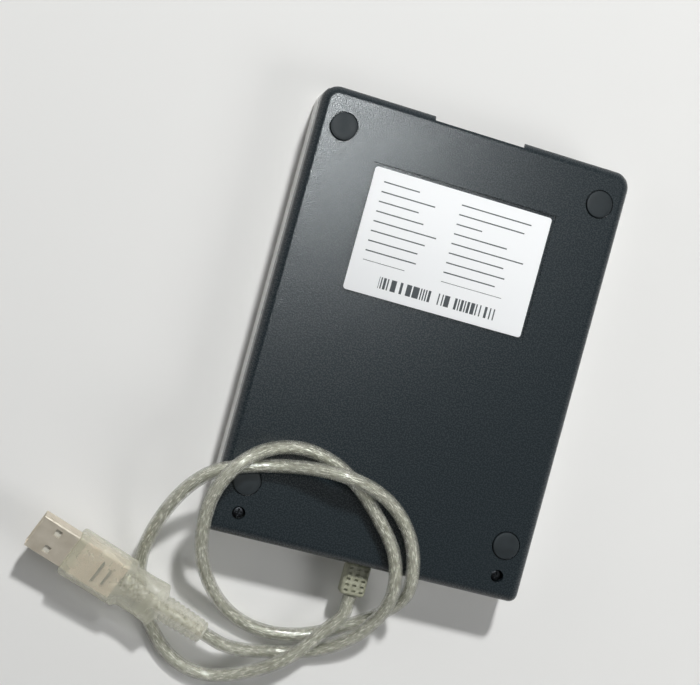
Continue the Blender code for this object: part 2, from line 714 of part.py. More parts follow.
def label_box(margin):
    """Corners of the label in plan, grown by margin."""
    x, y = LABEL_OFFSET_X, FRONT + LABEL_FRONT_MARGIN
    return ((x - LABEL_WIDTH / 2 - margin, y - margin),
            (x + LABEL_WIDTH / 2 + margin, y + LABEL_LENGTH + margin))


def make_bottom_shell():
    """The dark underside: rounded rim, recesses for feet and label, and screw posts."""
    shell = case_slab("bottom_shell", LID_DEPTH + GAP, CASE_HEIGHT, 0.0, UNDER_EDGE_RADIUS, 1)
    hollow_case(shell, LID_DEPTH - OVERRUN, UNDER_FLOOR)
    for x, y in screw_places():
        fuse_rod(shell, (x, y, LID_DEPTH + GAP), (x, y, UNDER_FLOOR + WALL / 2), BOSS_RADIUS)
        cut_rod(shell, (x, y, CASE_HEIGHT - SCREW_WELL_DEPTH), (x, y, CASE_HEIGHT + OVERRUN),
                SCREW_WELL_RADIUS, 24)
        cut_rod(shell, (x, y, LID_DEPTH - OVERRUN), (x, y, CASE_HEIGHT), SCREW_SHANK_RADIUS + GAP)
    for x, y in chassis_screw_places():
        fuse_rod(shell, (x, y, CHASSIS_UNDERSIDE + GAP), (x, y, UNDER_FLOOR + WALL / 2),
                 CHASSIS_POST_RADIUS)
        cut_rod(shell, (x, y, CHASSIS_UNDERSIDE - OVERRUN), (x, y, UNDER_FLOOR),
                CHASSIS_SCREW_SHANK_RADIUS + GAP)
    for x, y in foot_places().values():
        depth = FOOT_THICKNESS - FOOT_PROUD + GAP
        cut_rod(shell, (x, y, CASE_HEIGHT - depth), (x, y, CASE_HEIGHT + OVERRUN),
                FOOT_RADIUS + GAP, 32)
    low, high = label_box(LABEL_RECESS_MARGIN)
    cut_block(shell, (*low, CASE_HEIGHT - LABEL_THICKNESS - GAP), (*high, CASE_HEIGHT + OVERRUN))
    cut_notch(shell)
    cut_relief_hole(shell)
    return shell


def make_top_cover():
    """The pale lid: a shallow tray with a groove round its sides and two screw bosses."""
    cover = case_slab("top_cover", 0.0, LID_DEPTH, 0.0, LID_EDGE_RADIUS, -1)
    cover.data.materials[0] = silver_plastic()
    middle = LID_DEPTH / 2
    groove = case_slab("groove", middle - SIDE_GROOVE_WIDTH / 2, middle + SIDE_GROOVE_WIDTH / 2,
                       -OVERRUN / 2, 0.0, 1)
    core = case_slab("groove_core", 0.0, LID_DEPTH, SIDE_GROOVE_DEPTH, 0.0, 1)
    cut(groove, core)
    cut(cover, groove)
    hollow_case(cover, LID_FLOOR, LID_DEPTH + OVERRUN)
    for x, y in screw_places():
        fuse_rod(cover, (x, y, LID_FLOOR / 2), (x, y, LID_DEPTH), BOSS_RADIUS)
        end = CASE_HEIGHT - SCREW_WELL_DEPTH - SCREW_SHANK_LENGTH
        cut_rod(cover, (x, y, end), (x, y, LID_DEPTH + OVERRUN), SCREW_SHANK_RADIUS + GAP)
    cut_notch(cover)
    cut_relief_hole(cover)
    return cover


def make_feet():
    for name, (x, y) in foot_places().items():
        top = CASE_HEIGHT + FOOT_PROUD
        low = top - FOOT_THICKNESS
        profile = [(0.0, FOOT_THICKNESS), (FOOT_RADIUS - FOOT_CHAMFER, FOOT_THICKNESS),
                   (FOOT_RADIUS, FOOT_THICKNESS - FOOT_CHAMFER), (FOOT_RADIUS, 0.0), (0.0, 0.0)]
        turned(f"foot_{name}", profile, (x, y, low), rubber())


def make_label():
    low, high = label_box(0.0)
    block("rating_label", (*low, CASE_HEIGHT - LABEL_THICKNESS), (*high, CASE_HEIGHT), paper())


def make_cross(screw, x, y, top):
    """The cross recess in a screw's head, cut from its top."""
    long, wide = SCREW_CROSS_LENGTH / 2, SCREW_CROSS_WIDTH / 2
    for half_x, half_y in ((long, wide), (wide, long)):
        cut_block(screw, (x - half_x, y - half_y, top - SCREW_CROSS_DEPTH),
                  (x + half_x, y + half_y, top + OVERRUN))


def make_case_screws():
    for name, (x, y) in zip(("left", "right"), screw_places()):
        seat = CASE_HEIGHT - SCREW_WELL_DEPTH + GAP
        end = seat - SCREW_SHANK_LENGTH + GAP
        screw = rod(f"case_screw_{name}", (x, y, seat), (x, y, seat + SCREW_HEAD_HEIGHT),
                    SCREW_HEAD_RADIUS, steel())
        fuse_rod(screw, (x, y, end), (x, y, seat + SCREW_HEAD_HEIGHT / 2), SCREW_SHANK_RADIUS, 14)
        make_cross(screw, x, y, seat + SCREW_HEAD_HEIGHT)


def make_front_bezel():
    """The front panel, with the disk slot, the button and light holes, and the door's ears."""
    side = INNER_SIDE - GAP
    bezel = block("front_bezel", (-side, BEZEL_FACE, LID_FLOOR + GAP),
                  (side, BEZEL_BACK, UNDER_FLOOR - GAP), charcoal_plastic())
    ear_low = DOOR_HALF_WIDTH + GAP
    for sign in (-1, 1):
        near, far = sorted((sign * ear_low, sign * (ear_low + DOOR_EAR_THICKNESS)))
        fuse_block(bezel, (near, BEZEL_FACE + BEZEL_THICKNESS / 2, DOOR_PIVOT_Z - DOOR_EAR_HEIGHT / 2),
                   (far, DOOR_PIVOT_Y + DOOR_EAR_MARGIN, DOOR_PIVOT_Z + DOOR_EAR_HEIGHT / 2))
    cut_rod(bezel, (-SIDE, DOOR_PIVOT_Y, DOOR_PIVOT_Z), (SIDE, DOOR_PIVOT_Y, DOOR_PIVOT_Z),
            DOOR_PIN_RADIUS + GAP, 14)
    cut_block(bezel, (-SLOT_HALF_WIDTH, BEZEL_FACE - OVERRUN, SLOT_Z - SLOT_HEIGHT / 2),
              (SLOT_HALF_WIDTH, BEZEL_BACK + OVERRUN, SLOT_Z + SLOT_HEIGHT / 2))
    half_width, half_height = BUTTON_WIDTH / 2 + GAP, BUTTON_HEIGHT / 2 + GAP
    cut_block(bezel, (BUTTON_X - half_width, BEZEL_FACE - OVERRUN, BUTTON_Z - half_height),
              (BUTTON_X + half_width, BEZEL_BACK + OVERRUN, BUTTON_Z + half_height))
    cut_rod(bezel, (LIGHT_PIPE_X, BEZEL_FACE - OVERRUN, LIGHT_PIPE_Z),
            (LIGHT_PIPE_X, BEZEL_BACK + OVERRUN, LIGHT_PIPE_Z), LIGHT_PIPE_RADIUS + GAP)


def make_light_pipe():
    rod("light_pipe", (LIGHT_PIPE_X, BEZEL_FACE - LIGHT_PIPE_PROUD, LIGHT_PIPE_Z),
        (LIGHT_PIPE_X, MAIN_BOARD_FRONT - GAP, LIGHT_PIPE_Z), LIGHT_PIPE_RADIUS, light_acrylic())


def make_dust_door():
    """The flap behind the slot, with its two pins, and the coil on its longer pin."""
    bottom = BUTTON_Z - BUTTON_HEIGHT / 2 - DOOR_BUTTON_CLEARANCE
    half = DOOR_THICKNESS / 2
    free_side = DOOR_HALF_WIDTH - DOOR_SPRING_SPACE
    door = block("dust_door", (-DOOR_HALF_WIDTH, DOOR_PIVOT_Y - half, DOOR_PIVOT_Z - half),
                 (DOOR_HALF_WIDTH, DOOR_PIVOT_Y + half, bottom), black_plastic())
    door.data.transform(Matrix.Translation(door.location - Vector((0, DOOR_PIVOT_Y, DOOR_PIVOT_Z))))
    door.location = (0.0, DOOR_PIVOT_Y, DOOR_PIVOT_Z)
    pin_end = DOOR_HALF_WIDTH + DOOR_PIN_LENGTH
    cut_block(door, (free_side, DOOR_PIVOT_Y - OVERRUN, DOOR_PIVOT_Z - OVERRUN),
              (DOOR_HALF_WIDTH + OVERRUN, DOOR_PIVOT_Y + OVERRUN,
               DOOR_PIVOT_Z + DOOR_SPRING_RADIUS + WIRE_RADIUS + DOOR_SPRING_CLEARANCE))
    fuse_rod(door, (-pin_end, DOOR_PIVOT_Y, DOOR_PIVOT_Z), (half - DOOR_HALF_WIDTH, DOOR_PIVOT_Y,
             DOOR_PIVOT_Z), DOOR_PIN_RADIUS, 12)
    fuse_rod(door, (free_side - half, DOOR_PIVOT_Y, DOOR_PIVOT_Z),
             (pin_end, DOOR_PIVOT_Y, DOOR_PIVOT_Z), DOOR_PIN_RADIUS, 12)
    length = DOOR_SPRING_SPACE - 2 * (GAP + WIRE_RADIUS)
    coil = helix(DOOR_SPRING_RADIUS, length, DOOR_SPRING_TURNS)
    start = free_side + GAP + WIRE_RADIUS
    points = [(start + z, DOOR_PIVOT_Y + x, DOOR_PIVOT_Z + y) for x, y, z in coil]
    tube("dust_door_spring", points, WIRE_RADIUS, steel(), 1)


def make_eject_button():
    half_width, half_height = BUTTON_WIDTH / 2, BUTTON_HEIGHT / 2
    block("eject_button", (BUTTON_X - half_width, FRONT, BUTTON_Z - half_height),
          (BUTTON_X + half_width, FRONT + BUTTON_DEPTH, BUTTON_Z + half_height),
          silver_plastic(), BUTTON_BEVEL)


def pin_rows():
    return [CRADLE_FRONT + y for y in (CRADLE_PIN_FRONT, CRADLE_PIN_REAR)]


def make_slider_plate():
    """Two thin rails joined by a bar, with slanted slots for the cradle's pins."""
    outer = SLIDER_SIDE + SHEET
    rear = SLIDER_FRONT + SLIDER_LENGTH
    plate = block("slider_plate", (-outer, SLIDER_FRONT, SLIDER_WALL_TOP),
                  (outer, rear, SLIDER_FLOOR_BOTTOM), steel())
    cut_block(plate, (-SLIDER_SIDE, SLIDER_FRONT - OVERRUN, SLIDER_WALL_TOP - OVERRUN),
              (SLIDER_SIDE, rear + OVERRUN, SLIDER_FLOOR_TOP))
    cut_block(plate, (-SLIDER_SIDE, SLIDER_FRONT + SLIDER_BAR_LENGTH, SLIDER_WALL_TOP),
              (SLIDER_SIDE, rear + OVERRUN, SLIDER_FLOOR_BOTTOM + OVERRUN))
    tab_x = BUTTON_X + SLIDER_TAB_OFFSET
    fuse_block(plate, (tab_x - SLIDER_TAB_WIDTH / 2, FRONT + BUTTON_DEPTH + GAP, SLIDER_FLOOR_TOP),
               (tab_x + SLIDER_TAB_WIDTH / 2, SLIDER_FRONT + SLIDER_BAR_LENGTH / 2,
                SLIDER_FLOOR_BOTTOM))
    reach = math.hypot(SLIDER_TRAVEL, CRADLE_DROP) / 2 + CRADLE_PIN_RADIUS + GAP
    half = CRADLE_PIN_RADIUS + GAP
    slant = math.atan2(CRADLE_DROP, SLIDER_TRAVEL)
    for y in pin_rows():
        slot = block("pin_slot", (-outer - OVERRUN, -reach, -half), (outer + OVERRUN, reach, half),
                     steel())
        slot.rotation_euler = Euler((slant, 0.0, 0.0))
        slot.location = (0.0, y + SLIDER_TRAVEL / 2, CRADLE_PIN_Z + CRADLE_DROP / 2)
        cut(plate, slot)


def make_disk_cradle():
    """The sheet channel that takes the disk, with its lips, its windows and its four pins."""
    rear = CRADLE_FRONT + CRADLE_LENGTH
    inner = CRADLE_INNER_SIDE
    bottom = CRADLE_SPACE_BOTTOM + SHEET
    cradle = block("disk_cradle", (-CRADLE_SIDE, CRADLE_FRONT, CRADLE_ROOF_Z),
                   (CRADLE_SIDE, rear, bottom), steel())
    cut_block(cradle, (-inner, CRADLE_FRONT - OVERRUN, CRADLE_SPACE_TOP),
              (inner, rear + OVERRUN, CRADLE_SPACE_BOTTOM))
    lip = inner - CRADLE_LIP_WIDTH
    cut_block(cradle, (-lip, CRADLE_FRONT - OVERRUN, CRADLE_SPACE_TOP + CRADLE_SPACE_HEIGHT / 2),
              (lip, rear + OVERRUN, bottom + OVERRUN))
    cut_block(cradle, (-inner, CRADLE_FRONT - OVERRUN, CRADLE_SPACE_TOP + CRADLE_SPACE_HEIGHT / 2),
              (inner, CRADLE_FRONT + CRADLE_LIP_START, bottom + OVERRUN))
    cut_block(cradle, (-HEAD_WINDOW_WIDTH / 2, rear - HEAD_WINDOW_LENGTH, CRADLE_ROOF_Z - OVERRUN),
              (HEAD_WINDOW_WIDTH / 2, rear + OVERRUN, CRADLE_SPACE_TOP + CRADLE_SPACE_HEIGHT / 2))
    make_lever_window(cradle)
    for y in pin_rows():
        for sign in (-1, 1):
            fuse_rod(cradle, (sign * (CRADLE_SIDE - SHEET / 2), y, CRADLE_PIN_Z),
                     (sign * (CHASSIS_SIDE + SHEET / 2), y, CRADLE_PIN_Z), CRADLE_PIN_RADIUS, 12)
    fuse_rod(cradle, (LEVER_PIVOT_X, LEVER_PIVOT_Y, LEVER_Z - SHEET),
             (LEVER_PIVOT_X, LEVER_PIVOT_Y, CRADLE_ROOF_Z + SHEET / 2), LEVER_PIVOT_RADIUS, 14)


def lever_tip(angle):
    """Where the shutter lever's tip is in plan, at an angle from the X axis."""
    return (LEVER_PIVOT_X + LEVER_REACH * math.cos(angle),
            LEVER_PIVOT_Y + LEVER_REACH * math.sin(angle))


def make_lever_window(cradle):
    """The window in the cradle's roof that the lever's tip sweeps through."""
    margin = LEVER_TIP_RADIUS + LEVER_WINDOW_MARGIN
    first, last = lever_tip(LEVER_ANGLE), lever_tip(LEVER_ANGLE + LEVER_SWING)
    cut_block(cradle, (first[0] - margin, first[1] - margin, CRADLE_ROOF_Z - OVERRUN),
              (LEVER_PIVOT_X + LEVER_REACH + margin, last[1] + margin,
               CRADLE_SPACE_TOP + CRADLE_SPACE_HEIGHT / 2))


def make_shutter_lever():
    """The lever on the cradle's roof, its tip reaching down into the disk's path, and its coil."""
    x, y = lever_tip(LEVER_ANGLE)
    pivot = (LEVER_PIVOT_X, LEVER_PIVOT_Y)
    lever = rod("shutter_lever", (*pivot, LEVER_Z), (*pivot, LEVER_Z + SHEET), LEVER_EYE_RADIUS,
                steel())
    arm = block("lever_arm", (0.0, -LEVER_WIDTH / 2, LEVER_Z),
                (LEVER_REACH + LEVER_WIDTH / 2, LEVER_WIDTH / 2, LEVER_Z + SHEET), steel())
    arm.data.transform(Matrix.Translation(arm.location))
    arm.location = (*pivot, 0.0)
    arm.rotation_euler = Euler((0.0, 0.0, LEVER_ANGLE))
    fuse(lever, arm)
    fuse_rod(lever, (x, y, LEVER_Z + SHEET / 2), (x, y, LEVER_Z + SHEET / 2 + LEVER_TIP_LENGTH),
             LEVER_TIP_RADIUS, 12)
    cut_rod(lever, (*pivot, LEVER_Z - OVERRUN), (*pivot, LEVER_Z + OVERRUN),
            LEVER_PIVOT_RADIUS + GAP, 16)
    base = LEVER_Z - GAP - WIRE_RADIUS - LEVER_SPRING_HEIGHT
    coil = helix(LEVER_SPRING_RADIUS, LEVER_SPRING_HEIGHT, LEVER_SPRING_TURNS)
    points = [(pivot[0] + cx, pivot[1] + cy, base + cz) for cx, cy, cz in coil]
    tube("shutter_lever_spring", points, WIRE_RADIUS, steel(), 1)


def make_drive_chassis():
    """The stamped tray that carries the drive, with its motor hole and carriage window."""
    outer = CHASSIS_SIDE + SHEET
    chassis = block("drive_chassis", (-outer, CHASSIS_FRONT, CHASSIS_WALL_TOP),
                    (outer, CHASSIS_REAR, CHASSIS_UNDERSIDE), steel())
    cut_block(chassis, (-CHASSIS_SIDE, CHASSIS_FRONT - OVERRUN, CHASSIS_WALL_TOP - OVERRUN),
              (CHASSIS_SIDE, CHASSIS_REAR + OVERRUN, CHASSIS_FLOOR_Z))
    above, below = CHASSIS_FLOOR_Z - OVERRUN / 2, CHASSIS_UNDERSIDE + OVERRUN
    cut_rod(chassis, (0.0, SPINDLE_Y, above), (0.0, SPINDLE_Y, below), MOTOR_HOLE_RADIUS, 32)
    window_left = CARRIAGE_WIDTH / 2 + CARRIAGE_WINDOW_MARGIN
    window_right = LEAD_SCREW_X + LEAD_SCREW_RADIUS + BRACKET_WALL
    cut_block(chassis, (-window_left, CARRIAGE_FRONT - HEAD_TRAVEL - CARRIAGE_WINDOW_MARGIN, above),
              (window_right, CARRIAGE_REAR + CARRIAGE_WINDOW_MARGIN, below))
    for x in mirrored(ROD_X):
        cut_block(chassis, (x - ROD_RADIUS - GAP, ROD_FRONT - GAP, above),
                  (x + ROD_RADIUS + GAP, ROD_REAR + GAP, below))
    for x, y in chassis_screw_places():
        cut_rod(chassis, (x, y, above), (x, y, below), CHASSIS_SCREW_SHANK_RADIUS + GAP, 14)
    for y in pin_rows():
        half = CRADLE_PIN_RADIUS + GAP
        cut_block(chassis, (-outer - OVERRUN, y - half, CRADLE_PIN_Z - half),
                  (outer + OVERRUN, y + half, CRADLE_PIN_Z + CRADLE_DROP + half))
    hook_y = SLIDER_FRONT + SLIDER_BAR_LENGTH + SPRING_HOOK_Y
    spring_z = eject_spring_z()
    fuse_block(chassis, (EJECT_SPRING_X - EJECT_HOOK_SIZE / 2, hook_y, spring_z - EJECT_SPRING_RADIUS),
               (EJECT_SPRING_X + EJECT_HOOK_SIZE / 2, hook_y + EJECT_HOOK_SIZE,
                CHASSIS_FLOOR_Z + CHASSIS_FLOOR / 2))


def eject_spring_z():
    return SLIDER_FLOOR_BOTTOM - EJECT_SPRING_RADIUS - WIRE_RADIUS


def make_eject_spring():
    """The coil between the slider's bar and the chassis hook."""
    start = SLIDER_FRONT + SLIDER_BAR_LENGTH + GAP + WIRE_RADIUS
    length = SPRING_HOOK_Y - 2 * (GAP + WIRE_RADIUS)
    coil = helix(EJECT_SPRING_RADIUS, length, EJECT_SPRING_TURNS, 8)
    points = [(EJECT_SPRING_X + x, start + z, eject_spring_z() + y) for x, y, z in coil]
    tube("eject_spring", points, WIRE_RADIUS, steel(), 1)


def make_chassis_screws():
    names = ("front_left", "rear_left", "front_right", "rear_right")
    for name, (x, y) in zip(names, chassis_screw_places()):
        head_bottom = CHASSIS_FLOOR_Z - GAP
        head_top = head_bottom - CHASSIS_SCREW_HEAD_HEIGHT
        screw = rod(f"chassis_screw_{name}", (x, y, head_top), (x, y, head_bottom),
                    CHASSIS_SCREW_HEAD_RADIUS, steel(), 16)
        fuse_rod(screw, (x, y, (head_top + head_bottom) / 2),
                 (x, y, UNDER_FLOOR - CHASSIS_SCREW_END_MARGIN), CHASSIS_SCREW_SHANK_RADIUS, 12)


def make_spindle():
    """The flat motor: stator plate, bearing, rotor with its hub, shaft and drive pin."""
    bore = SHAFT_RADIUS + GAP
    stator_top = BOARD_TOP - GAP - STATOR_THICKNESS
    ring = [(bore, STATOR_THICKNESS), (STATOR_RADIUS, STATOR_THICKNESS), (STATOR_RADIUS, 0.0),
            (bore, 0.0)]
    turned("spindle_stator", ring, (0.0, SPINDLE_Y, stator_top), steel(), closed=True)
    sleeve = [(bore, BEARING_HEIGHT), (BEARING_RADIUS, BEARING_HEIGHT), (BEARING_RADIUS, 0.0),
              (bore, 0.0)]
    turned("spindle_bearing", sleeve, (0.0, SPINDLE_Y, stator_top - GAP - BEARING_HEIGHT), brass(),
           closed=True)
    rim_end = ROTOR_BOTTOM_Z - HUB_TOP_Z
    web_end = HUB_HEIGHT + ROTOR_PLATE
    cup = [(ROTOR_RADIUS - ROTOR_RIM, rim_end), (ROTOR_RADIUS, rim_end),
           (ROTOR_RADIUS, HUB_HEIGHT), (HUB_RADIUS, HUB_HEIGHT), (HUB_RADIUS, 0.0), (bore, 0.0),
           (bore, web_end), (ROTOR_RADIUS - ROTOR_RIM, web_end)]
    turned("spindle_rotor", cup, (0.0, SPINDLE_Y, HUB_TOP_Z), steel(), closed=True)
    rod("spindle_shaft", (0.0, SPINDLE_Y, SHAFT_TOP_Z), (0.0, SPINDLE_Y, BOARD_TOP - GAP),
        SHAFT_RADIUS, steel())
    pin_z = HUB_TOP_Z - GAP
    rod("drive_pin", (DRIVE_PIN_ORBIT, SPINDLE_Y, pin_z - DRIVE_PIN_HEIGHT),
        (DRIVE_PIN_ORBIT, SPINDLE_Y, pin_z), DRIVE_PIN_RADIUS, brass(), 14)


def chip(name, x, y, size_x, size_y, material=None, height=CHIP_HEIGHT):
    """A flat package on a board's lid side, its middle at x, y."""
    return block(name, (x - size_x / 2, y - size_y / 2, CHIP_BOTTOM - height),
                 (x + size_x / 2, y + size_y / 2, CHIP_BOTTOM), material or chip_resin())


def make_boards():
    """The drive's own board, the interface board and what sits on them."""
    half = MAIN_BOARD_SIDE
    block("main_board", (-half, MAIN_BOARD_FRONT, BOARD_TOP), (half, MAIN_BOARD_REAR, BOARD_BOTTOM),
          board_laminate())
    chip("controller_chip", CONTROLLER_X, CONTROLLER_Y, CONTROLLER_SIZE, CONTROLLER_SIZE)
    chip("motor_driver_chip", DRIVER_X, DRIVER_Y, DRIVER_SIZE, DRIVER_SIZE)
    chip("activity_led", LIGHT_PIPE_X, MAIN_BOARD_FRONT + LED_LENGTH / 2, LED_WIDTH, LED_LENGTH,
         light_acrylic())
    rear = INNER_REAR - RELIEF_FLANGE - GAP - GAP
    board = block("usb_board", (USB_BOARD_LEFT, USB_BOARD_FRONT, BOARD_TOP),
                  (USB_BOARD_RIGHT, rear, BOARD_BOTTOM), board_laminate())
    chip("usb_bridge_chip", BRIDGE_X, board.location.y + BRIDGE_SIZE / 2, BRIDGE_SIZE, BRIDGE_SIZE)
    front_y = MAIN_BOARD_REAR - RIBBON_CONNECTOR_MARGIN - RIBBON_CONNECTOR_LENGTH / 2
    rear_y = USB_BOARD_FRONT + RIBBON_CONNECTOR_MARGIN + RIBBON_CONNECTOR_LENGTH / 2
    for name, y in (("ribbon_connector_front", front_y), ("ribbon_connector_rear", rear_y)):
        chip(name, RIBBON_X, y, RIBBON_WIDTH + 2 * RIBBON_CONNECTOR_MARGIN,
             RIBBON_CONNECTOR_LENGTH, white_nylon(), RIBBON_CONNECTOR_HEIGHT)
    make_ribbon_cable(front_y + RIBBON_CONNECTOR_LENGTH / 2 + GAP,
                      rear_y - RIBBON_CONNECTOR_LENGTH / 2 - GAP)


def make_ribbon_cable(front, rear, steps=10):
    """A flat strip between the two connectors, arched towards the lid."""
    level = CHIP_BOTTOM - RIBBON_CONNECTOR_HEIGHT / 2
    shape = bmesh.new()
    bmesh.ops.create_grid(shape, x_segments=1, y_segments=steps, size=0.5)
    for vert in shape.verts:
        share = vert.co.y + 0.5
        vert.co = (RIBBON_X + vert.co.x * RIBBON_WIDTH, front + share * (rear - front),
                   level - RIBBON_ARCH * math.sin(math.pi * share) ** 2)
    strip = add_object("ribbon_cable", mesh_from("ribbon_cable", shape), amber_film())
    wall = strip.modifiers.new("film", "SOLIDIFY")
    wall.thickness = RIBBON_THICKNESS
    wall.offset = 0.0


def make_guide_rods():
    for name, x in zip(("left", "right"), mirrored(ROD_X)):
        rod(f"guide_rod_{name}", (x, ROD_FRONT, ROD_Z), (x, ROD_REAR, ROD_Z),
            ROD_RADIUS, steel(), 14)


def make_head_carriage():
    """The sledge on its rods, with the ears that hold the upper arm and the screw's follower."""
    half = CARRIAGE_WIDTH / 2
    carriage = block("head_carriage", (-half, CARRIAGE_FRONT, CARRIAGE_TOP_Z),
                     (half, CARRIAGE_REAR, CARRIAGE_BOTTOM_Z), black_plastic())
    ear = ARM_WIDTH / 2 + GAP
    fuse_block(carriage, (-ear - EAR_THICKNESS, CARRIAGE_REAR - POST_LENGTH, POST_TOP_Z),
               (ear + EAR_THICKNESS, CARRIAGE_REAR, CARRIAGE_TOP_Z + ROD_RADIUS))
    tab_end = LEAD_SCREW_X - LEAD_SCREW_RADIUS - GAP
    fuse_block(carriage, (half - ROD_RADIUS, CARRIAGE_REAR - TAB_LENGTH, CARRIAGE_TOP_Z),
               (tab_end, CARRIAGE_REAR, LEAD_SCREW_Z + LEAD_SCREW_RADIUS))
    cut_block(carriage, (-ear, CARRIAGE_REAR - POST_LENGTH - OVERRUN, POST_TOP_Z - OVERRUN),
              (ear, CARRIAGE_REAR + OVERRUN, CARRIAGE_TOP_Z))
    cut_rod(carriage, (-SIDE, ARM_PIVOT_Y, ARM_PIVOT_Z), (SIDE, ARM_PIVOT_Y, ARM_PIVOT_Z),
            ARM_PIVOT_RADIUS + GAP, 12)
    for x in mirrored(ROD_X):
        cut_rod(carriage, (x, CARRIAGE_FRONT - OVERRUN, ROD_Z), (x, CARRIAGE_REAR + OVERRUN, ROD_Z),
                ROD_RADIUS + GAP, 14)
    half_width, half_length = HEAD_WIDTH / 2, HEAD_LENGTH / 2
    block("lower_head", (-half_width, HEAD_Y - half_length, LOWER_HEAD_TOP_Z),
          (half_width, HEAD_Y + half_length, CARRIAGE_TOP_Z - GAP), chip_resin())


def make_upper_head_arm():
    """The arm over the disk, pivoted in the carriage's ears, with its head and leaf spring."""
    half = ARM_WIDTH / 2
    rear = ARM_PIVOT_Y + ARM_THICKNESS
    arm = block("upper_head_arm", (-half, CARRIAGE_FRONT, ARM_TOP_Z),
                (half, rear, ARM_TOP_Z + ARM_THICKNESS), steel())
    arm.data.transform(Matrix.Translation(arm.location - Vector((0, ARM_PIVOT_Y, ARM_PIVOT_Z))))
    arm.location = (0.0, ARM_PIVOT_Y, ARM_PIVOT_Z)
    pin_end = half + GAP + EAR_THICKNESS
    fuse_rod(arm, (-pin_end, ARM_PIVOT_Y, ARM_PIVOT_Z), (pin_end, ARM_PIVOT_Y, ARM_PIVOT_Z),
             ARM_PIVOT_RADIUS, 12)
    half_width, half_length = HEAD_WIDTH / 2, HEAD_LENGTH / 2
    block("upper_head", (-half_width, HEAD_Y - half_length, ARM_TOP_Z + ARM_THICKNESS + GAP),
          (half_width, HEAD_Y + half_length, UPPER_HEAD_TIP_Z), chip_resin())
    block("head_load_spring",
          (-HEAD_SPRING_WIDTH / 2, CARRIAGE_REAR - POST_LENGTH - HEAD_SPRING_LENGTH,
           ARM_TOP_Z - GAP - HEAD_SPRING_THICKNESS),
          (HEAD_SPRING_WIDTH / 2, CARRIAGE_REAR - POST_LENGTH, ARM_TOP_Z - GAP), steel())


def make_screw_drive():
    """The stepping motor, its lead screw and the bracket at the screw's far end."""
    rod("stepper_motor", (LEAD_SCREW_X, STEPPER_Y, LEAD_SCREW_Z),
        (LEAD_SCREW_X, STEPPER_Y + STEPPER_LENGTH, LEAD_SCREW_Z), STEPPER_RADIUS, steel(), 28)
    start = BRACKET_Y + BRACKET_LENGTH / 2
    length = STEPPER_Y - GAP - start
    profile = [(0.0, length), (LEAD_SCREW_RADIUS, length)]
    ridge = LEAD_SCREW_PITCH / 4
    level = length - LEAD_SCREW_PITCH
    while level > BRACKET_LENGTH + ridge:
        profile += [(LEAD_SCREW_RADIUS, level + ridge), (LEAD_SCREW_ROOT_RADIUS, level),
                    (LEAD_SCREW_RADIUS, level - ridge)]
        level -= LEAD_SCREW_PITCH
    profile += [(LEAD_SCREW_RADIUS, 0.0), (0.0, 0.0)]
    turned("lead_screw", profile, (LEAD_SCREW_X, start, LEAD_SCREW_Z), steel(), 14,
           turn=(-math.pi / 2, 0.0, 0.0))
    half = LEAD_SCREW_RADIUS + GAP + BRACKET_WALL
    window_right = LEAD_SCREW_X + LEAD_SCREW_RADIUS + BRACKET_WALL
    bracket = block("lead_screw_bracket",
                    (LEAD_SCREW_X - half, BRACKET_Y, LEAD_SCREW_Z - half),
                    (window_right - GAP, BRACKET_Y + BRACKET_LENGTH, CHASSIS_UNDERSIDE),
                    black_plastic())
    foot_bottom = CHASSIS_FLOOR_Z - GAP
    fuse_block(bracket, (LEAD_SCREW_X + LEAD_SCREW_RADIUS, BRACKET_Y,
                         foot_bottom - BRACKET_FOOT_HEIGHT),
               (window_right + BRACKET_REACH, BRACKET_Y + BRACKET_LENGTH, foot_bottom))
    cut_rod(bracket, (LEAD_SCREW_X, start - GAP, LEAD_SCREW_Z),
            (LEAD_SCREW_X, BRACKET_Y + BRACKET_LENGTH + OVERRUN, LEAD_SCREW_Z),
            LEAD_SCREW_RADIUS + GAP, 14)


def make_switches():
    """The switch block and the three plungers that a disk presses."""
    y = CHASSIS_FRONT + SWITCH_INSET
    bottom = CHASSIS_FLOOR_Z - GAP
    top = bottom - SWITCH_HEIGHT
    places = [SWITCH_X + i * SWITCH_SPACING for i in (-1, 0, 1)]
    half = SWITCH_SPACING * 1.5 + PLUNGER_RADIUS
    holder = block("switch_block", (SWITCH_X - half, y, top),
                   (SWITCH_X + half, y + SWITCH_LENGTH, bottom), black_plastic())
    names = ("disk_in_plunger", "write_protect_plunger", "density_plunger")
    middle = y + SWITCH_LENGTH / 2
    for name, x in zip(names, places):
        cut_rod(holder, (x, middle, top - OVERRUN / 2), (x, middle, bottom + OVERRUN),
                PLUNGER_RADIUS + GAP, 14)
        rod(name, (x, middle, top - PLUNGER_PROUD), (x, middle, top - PLUNGER_PROUD + PLUNGER_LENGTH),
            PLUNGER_RADIUS, white_nylon(), 14)


